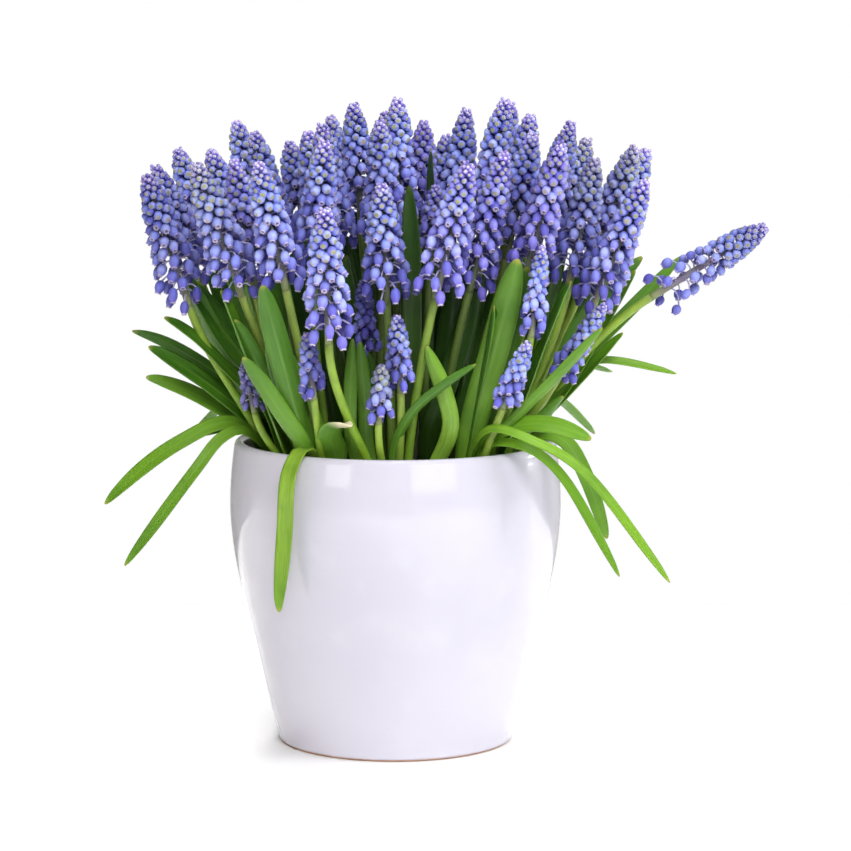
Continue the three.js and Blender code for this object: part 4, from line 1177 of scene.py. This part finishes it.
def floret_form(profile, sides):
    """Points of one floret of unit length and half width, its faces and its points' values."""
    angles = turns(sides)
    tooth = np.where(np.arange(sides) % 2 == 0, 1.0, 0.0)
    rings, petal, mouth = [], [], []
    for along, radius, part in profile[1:-1]:
        is_rim = profile is OPEN_BELL and part == 1
        out = radius + (LOBE_REACH * (tooth - 0.5) if is_rim else 0.0)
        reach = along - (LOBE_DIP * (1 - tooth) if is_rim else 0.0)
        rings.append(ring(out, angles, reach))
        petal.append(ring(1.0, angles, along))
        mouth.append(np.full(sides, float(part)))
    ends = [(0, 0, profile[0][0]), (0, 0, profile[-1][0])]
    points = np.concatenate([*rings, ends])
    petal = np.concatenate([*petal, ends])
    mouth = np.concatenate([*mouth, [profile[0][2], profile[-1][2]]])
    return points, loft_faces(len(rings), sides), petal, mouth


bell_form = floret_form(OPEN_BELL, BELL_SIDES)
bud_form = floret_form(CLOSED_BUD, BUD_SIDES)
small_bud_form = floret_form(SMALL_BUD, SMALL_BUD_SIDES)


def square_to(direction):
    """Two directions square to another."""
    across = unit(np.cross(direction, (1.0, 0.0, 0.0) if abs(direction[0]) < 0.9 else (0.0, 1.0, 0.0)))
    return across, np.cross(direction, across)


def crowding(place, radial, others):
    """How much the other heads stand before a floret that faces a direction, from 0 to 1, which sets its
    painted shade.
    """
    feet, tips = others
    spans = tips - feet
    shares = np.clip(((place - feet) * spans).sum(1) / (spans**2).sum(1), 0, 1)
    towards = feet + shares[:, None] * spans - place
    distances = np.linalg.norm(towards, axis=1)
    facing = unit(radial + [0, 0, 0.5])
    ahead = np.maximum(towards @ facing / distances, 0)
    close = np.clip((CROWD_REACH - distances) / (CROWD_REACH - CROWD_FULL), 0, 1)
    return 1 - math.exp(-float((ahead * close).sum()))


class FlowerHead:
    """A stalk with florets round it, each a golden angle on from the one below."""

    def __init__(self, number, head):
        self.shape = Shape("petal", "floret", "mood", "stalk", "depth")
        self.draw = random.Random(300 + number)
        self.head = head
        self.foot, _, self.axis = head_axis(head)
        self.asides = square_to(self.axis)
        self.size = min(1.08, max(0.93, head["radius"] / 10.5))
        self.fullness = head.get("fullness", 1.0)
        self.cast = head.get("cast", 0.6 * self.draw.random())  # how violet the whole head is
        # Each head gets a little painted shade at random besides its mood.
        self.mood = np.array(MOODS[head.get("mood")]) + [0, 0, 0.5 * self.draw.random() ** 2]
        ends = [head_axis(other)[:2] for other in HEADS if other is not head]
        self.others = np.array([foot for foot, _ in ends]), np.array([tip for _, tip in ends])

    def stalk(self):
        """The stalk inside the head, with painted shade where the florets close over it."""
        rise = np.linspace(-1.2, self.head["length"] - 1.5, STALK_RINGS)
        path = np.array([self.foot + self.axis * h for h in rise])
        radii = np.interp(np.linspace(0, 1, STALK_RINGS), [0, 0.5, 1], STALK_IN_HEAD) * self.size
        core = lambda up: (min(1.0, 0.95 + 0.2 * up), 0.5, 0.0)
        # Painted shade on the stalk: that of the clump at its foot, more where florets cover it.
        under = float(inner_share(self.foot))
        shade_under_florets = 0.6 * self.fullness**3
        clump_shade = lambda up: (0, max(under, min(shade_under_florets, 2 * up)), 0)
        tube(self.shape, path, radii, STALK_SIDES, material=1, stalk=core, depth=clump_shade)

    def florets(self):
        """All its florets, which stand closer together towards the tip."""
        length = self.head["length"]
        room = min(1.0, self.head["radius"] / 10)  # a slim head has fewer florets round it
        height, turn = 1.5, self.draw.uniform(0, math.tau)
        while height < length - 0.6:
            share = height / length
            self.floret(height, share, turn)
            turn += GOLDEN_ANGLE
            share_made = self.fullness + (1 - self.fullness) * min(1.0, max(0.0, (share - 0.35) / 0.3))
            height += self.size / (share_made * room * np.interp(share, UP_THE_HEAD, FLORETS_PER_MM))

    def floret(self, height, share, turn):
        """One bell or bud, at a height above the head's foot and a share of its length."""
        draw, head, axis = self.draw, self.head, self.axis
        at = lambda table: np.interp(share, UP_THE_HEAD, table)
        long = at(FLORET_LENGTH) * self.size * head.get("bell", 1.0) * draw.uniform(0.9, 1.1)
        wide = at(FLORET_WIDTH) * self.size * draw.uniform(0.9, 1.1)
        if self.mood[0]:
            long, wide = long * draw.uniform(0.75, 1.0), wide * draw.uniform(0.6, 0.95)
        loose = 1 - min(1.0, share / 0.6)  # 1 at the foot, where florets are less orderly
        azimuth = turn + draw.gauss(0, 0.05 + 0.12 * loose)
        radial = self.asides[0] * math.cos(azimuth) + self.asides[1] * math.sin(azimuth)
        # Buds point along the head's own axis, and open bells hang straight down.
        blend = min(1.0, max(1 - head.get("hang", 1.0), (share - 0.4) / 0.3))
        upright = unit(axis * blend + np.array([0, 0, 1.0]) * (1 - blend))
        tilt = math.radians(at(FLORET_TILT) + draw.gauss(0, 6 + 9 * loose))
        level = unit(radial - upright * np.dot(radial, upright))
        direction = unit(upright * math.cos(tilt) + level * math.sin(tilt))
        envelope = head_radius(head["radius"], share) * at(ENVELOPE) * draw.uniform(0.95 - 0.2 * loose, 1.03)
        outward = long * max(0.0, math.sin(tilt)) * 0.5 + wide / 2 * abs(math.cos(tilt))
        jog = draw.gauss(0, 0.12) * wide
        centre = self.foot + axis * (height + jog) + radial * max(envelope - outward, 0.4)
        base = centre - direction * long / 2

        u, v = square_to(direction)
        spin = draw.uniform(0, math.tau)
        u, v = u * math.cos(spin) + v * math.sin(spin), v * math.cos(spin) - u * math.sin(spin)
        form = bell_form if share < OPEN_UP_TO + draw.uniform(-0.05, 0.05) else bud_form
        points, faces, petal, mouth = small_bud_form if share > SMALL_FROM else form
        x, y, z = points[:, :1], points[:, 1:2], points[:, 2:]
        placed = base + x * u * wide / 2 + y * v * wide / 2 + z * direction * long
        violet = 0.75 * self.cast + 0.25 * draw.random()
        look = columns(len(points), 1 - share, violet, mouth)
        # How deep in the head and how crowded by other heads a floret is, for its painted shade.
        from_axis = placed - self.foot
        from_axis -= np.outer(from_axis @ axis, axis)
        away = np.linalg.norm(from_axis, axis=1)
        sunk = np.clip((away.max() - away) / SUNK_BY, 0, 1) * (1 - 0.5 * loose)
        crowd_shade = crowding(centre, radial, self.others)
        depth = columns(len(points), sunk, crowd_shade, draw.random())
        self.shape.add(placed, *faces, petal=petal, floret=look, mood=self.mood, depth=depth)
        self.pedicel(base, direction, radial, upright, share, loose)

    def pedicel(self, base, direction, radial, upright, share, loose):
        """A floret's own thin stalk, which rises from the head's stalk and bends over into the floret."""
        along_axis = np.dot(base - self.foot, self.axis)
        root = self.foot + self.axis * (along_axis + 0.6 - 2.2 * share) + radial * 0.4
        span = np.linalg.norm(base - root)
        if span > PEDICEL_LEAST:
            knee = (root + base) / 2 + upright * (0.16 + 0.3 * loose) * span
            inside = base + direction * 0.25
            t = np.linspace(0, 1, PEDICEL_RINGS)[:, None]
            path = (1 - t) ** 2 * root + 2 * (1 - t) * t * knee + t**2 * inside
            radii = np.full(PEDICEL_RINGS, PEDICEL_RADIUS * self.size)
            tube(self.shape, path, radii, PEDICEL_SIDES, material=1, stalk=(1.0, 0.5, 1.0))


def flower_head(number, head):
    """One spike of flowers, as a piece of its own."""
    made = FlowerHead(number, head)
    made.stalk()
    made.florets()
    looks = [skins["floret"], skins["stalk"]]
    made.shape.piece(f"flowers_{number:02d}", looks, "floret", f"flower_head_{number:02d}")


# ---- Camera, floor and light --------------------------------------------------------------------

# All in metres. The camera is level from side to side and looks down a little.
CAMERA_PLACE = (0.0127, -1.400, 0.320)
CAMERA_TILT = 82.43
CAMERA_LENS = 141.3

TABLE_BACK = 0.3  # behind the pot's axis
TABLE_FRONT = 1.2
TABLE_HALF_WIDTH = 1.3

# Each lamp: where it stands, what it points at, its width and height and its power in watts. The ones
# called windows and the one above show in the gloss of the glaze.
LAMPS = dict(
    window=dict(place=(0.68, -1.34, 0.62), aim=(0, 0, 0.15), size=(0.9, 1.0), power=5.5),
    front=dict(place=(0.12, -1.35, 1.0), aim=(0, 0, 0.2), size=(0.7, 0.6), power=17.5, in_gloss=False),
    right=dict(place=(1.0, -0.5, 1.1), aim=(0, 0, 0.2), size=(0.7, 0.7), power=11, in_gloss=False),
    top=dict(place=(0.1, -0.1, 1.7), aim=(0, 0, 0.1), size=(1.4, 1.2), power=11),
    left=dict(
        place=(-1.2, -0.25, 0.12),
        aim=(0, 0, 0.06),
        size=(0.5, 0.4),
        power=2.4,
        colour=(1.0, 0.84, 0.64),
        in_gloss=False,
    ),
    window_left=dict(place=(-0.98, -1.2, 0.36), aim=(0, 0, 0.12), size=(0.5, 0.4), power=1.4),
    horizon=dict(place=(0, 1.1, 0.9), aim=(0, 0.45, 0), size=(1.8, 0.5), power=7, spread=45, in_gloss=False),
    window_right=dict(place=(1.3, 0.45, 0.3), aim=(0, 0, 0.12), size=(0.25, 0.35), power=2.5),
)


def add_object(name, data):
    made = bpy.data.objects.new(name, data)
    bpy.context.scene.collection.objects.link(made)
    return made


def make_camera():
    """The camera, which stands where the photographer stood."""
    camera = add_object("camera", bpy.data.cameras.new("camera"))
    camera.data.lens = CAMERA_LENS
    camera.data.sensor_width = 36
    camera.location = CAMERA_PLACE
    camera.rotation_euler = (math.radians(CAMERA_TILT), 0, 0)
    bpy.context.scene.camera = camera


def make_floor():
    """The table top that the pot stands on."""
    mesh = bpy.data.meshes.new("floor")
    side, back, front = TABLE_HALF_WIDTH, TABLE_BACK, -TABLE_FRONT
    corners = [(-side, front, 0), (side, front, 0), (side, back, 0), (-side, back, 0)]
    mesh.from_pydata(corners, [], [(0, 1, 2, 3)])
    mesh.materials.append(floor_material())
    add_object("floor", mesh)


def make_lamp(name, place, aim, size, power, colour=(1, 1, 1), spread=180, in_gloss=True):
    """A soft rectangular light that the camera doesn't see."""
    lamp = bpy.data.lights.new(name, "AREA")
    lamp.shape = "RECTANGLE"
    lamp.spread = math.radians(spread)
    lamp.size, lamp.size_y = size
    lamp.energy = power
    lamp.color = colour
    made = add_object(name, lamp)
    made.location = place
    made.visible_camera = False
    made.visible_glossy = in_gloss
    heading = unit(np.array(aim, float) - np.array(place, float))
    tilt = math.acos(-heading[2])
    made.rotation_euler = (tilt, 0, math.atan2(heading[1], heading[0]) - math.pi / 2)


def make_surround():
    """A dim warm room, with a pale wall behind the pot for the gloss only and white for the camera."""
    sky = Shader("studio", "worlds")
    bpy.context.scene.world = sky.made
    glow = lambda colour, strength: sky.node("Background", {"Color": colour, "Strength": strength}).outputs[0]
    mixed = lambda share, a, b: sky.node("MixShader", {0: share, 1: a, 2: b}).outputs[0]
    rays = sky.node("LightPath", {}).outputs
    x, y, z = sky.split(sky.place("Generated"))
    # The wall is brighter on the right, stands only behind the pot and ends above and below.
    wall = glow((1.0, 0.99, 0.97), sky.spread(x, -0.5, 0.5, 0.35, 0.62))
    level = sky.times(sky.spread(z, -0.5, -0.3), sky.spread(z, 0.3, 0.1))
    in_wall = sky.times(sky.times(sky.spread(y, 0.0, 0.4), level), rays["Is Glossy Ray"])
    room = mixed(in_wall, glow((1.0, 0.94, 0.85), 0.06), wall)
    seen = mixed(rays["Is Camera Ray"], room, glow((1.0, 1.0, 1.0), 1.0))
    sky.put(sky.tree.nodes["World Output"].inputs["Surface"], seen)


bpy.context.scene.view_settings.view_transform = "Standard"
make_camera()
make_floor()
make_surround()
for name, lamp in LAMPS.items():
    make_lamp(name, **lamp)

skins = dict(floret=floret_material(), stalk=stalk_material(), leaf=leaf_material(), bulb=bulb_material())
pot()
soil()
for number, bulb in enumerate(bulbs, 1):
    bulb_piece(number, bulb)
    stems_piece(number, [head for head in HEADS if bulb_under(head_axis(head)[0]) is bulb])
    leaves_piece(number, bulb)
for number, head in enumerate(HEADS, 1):
    flower_head(number, head)
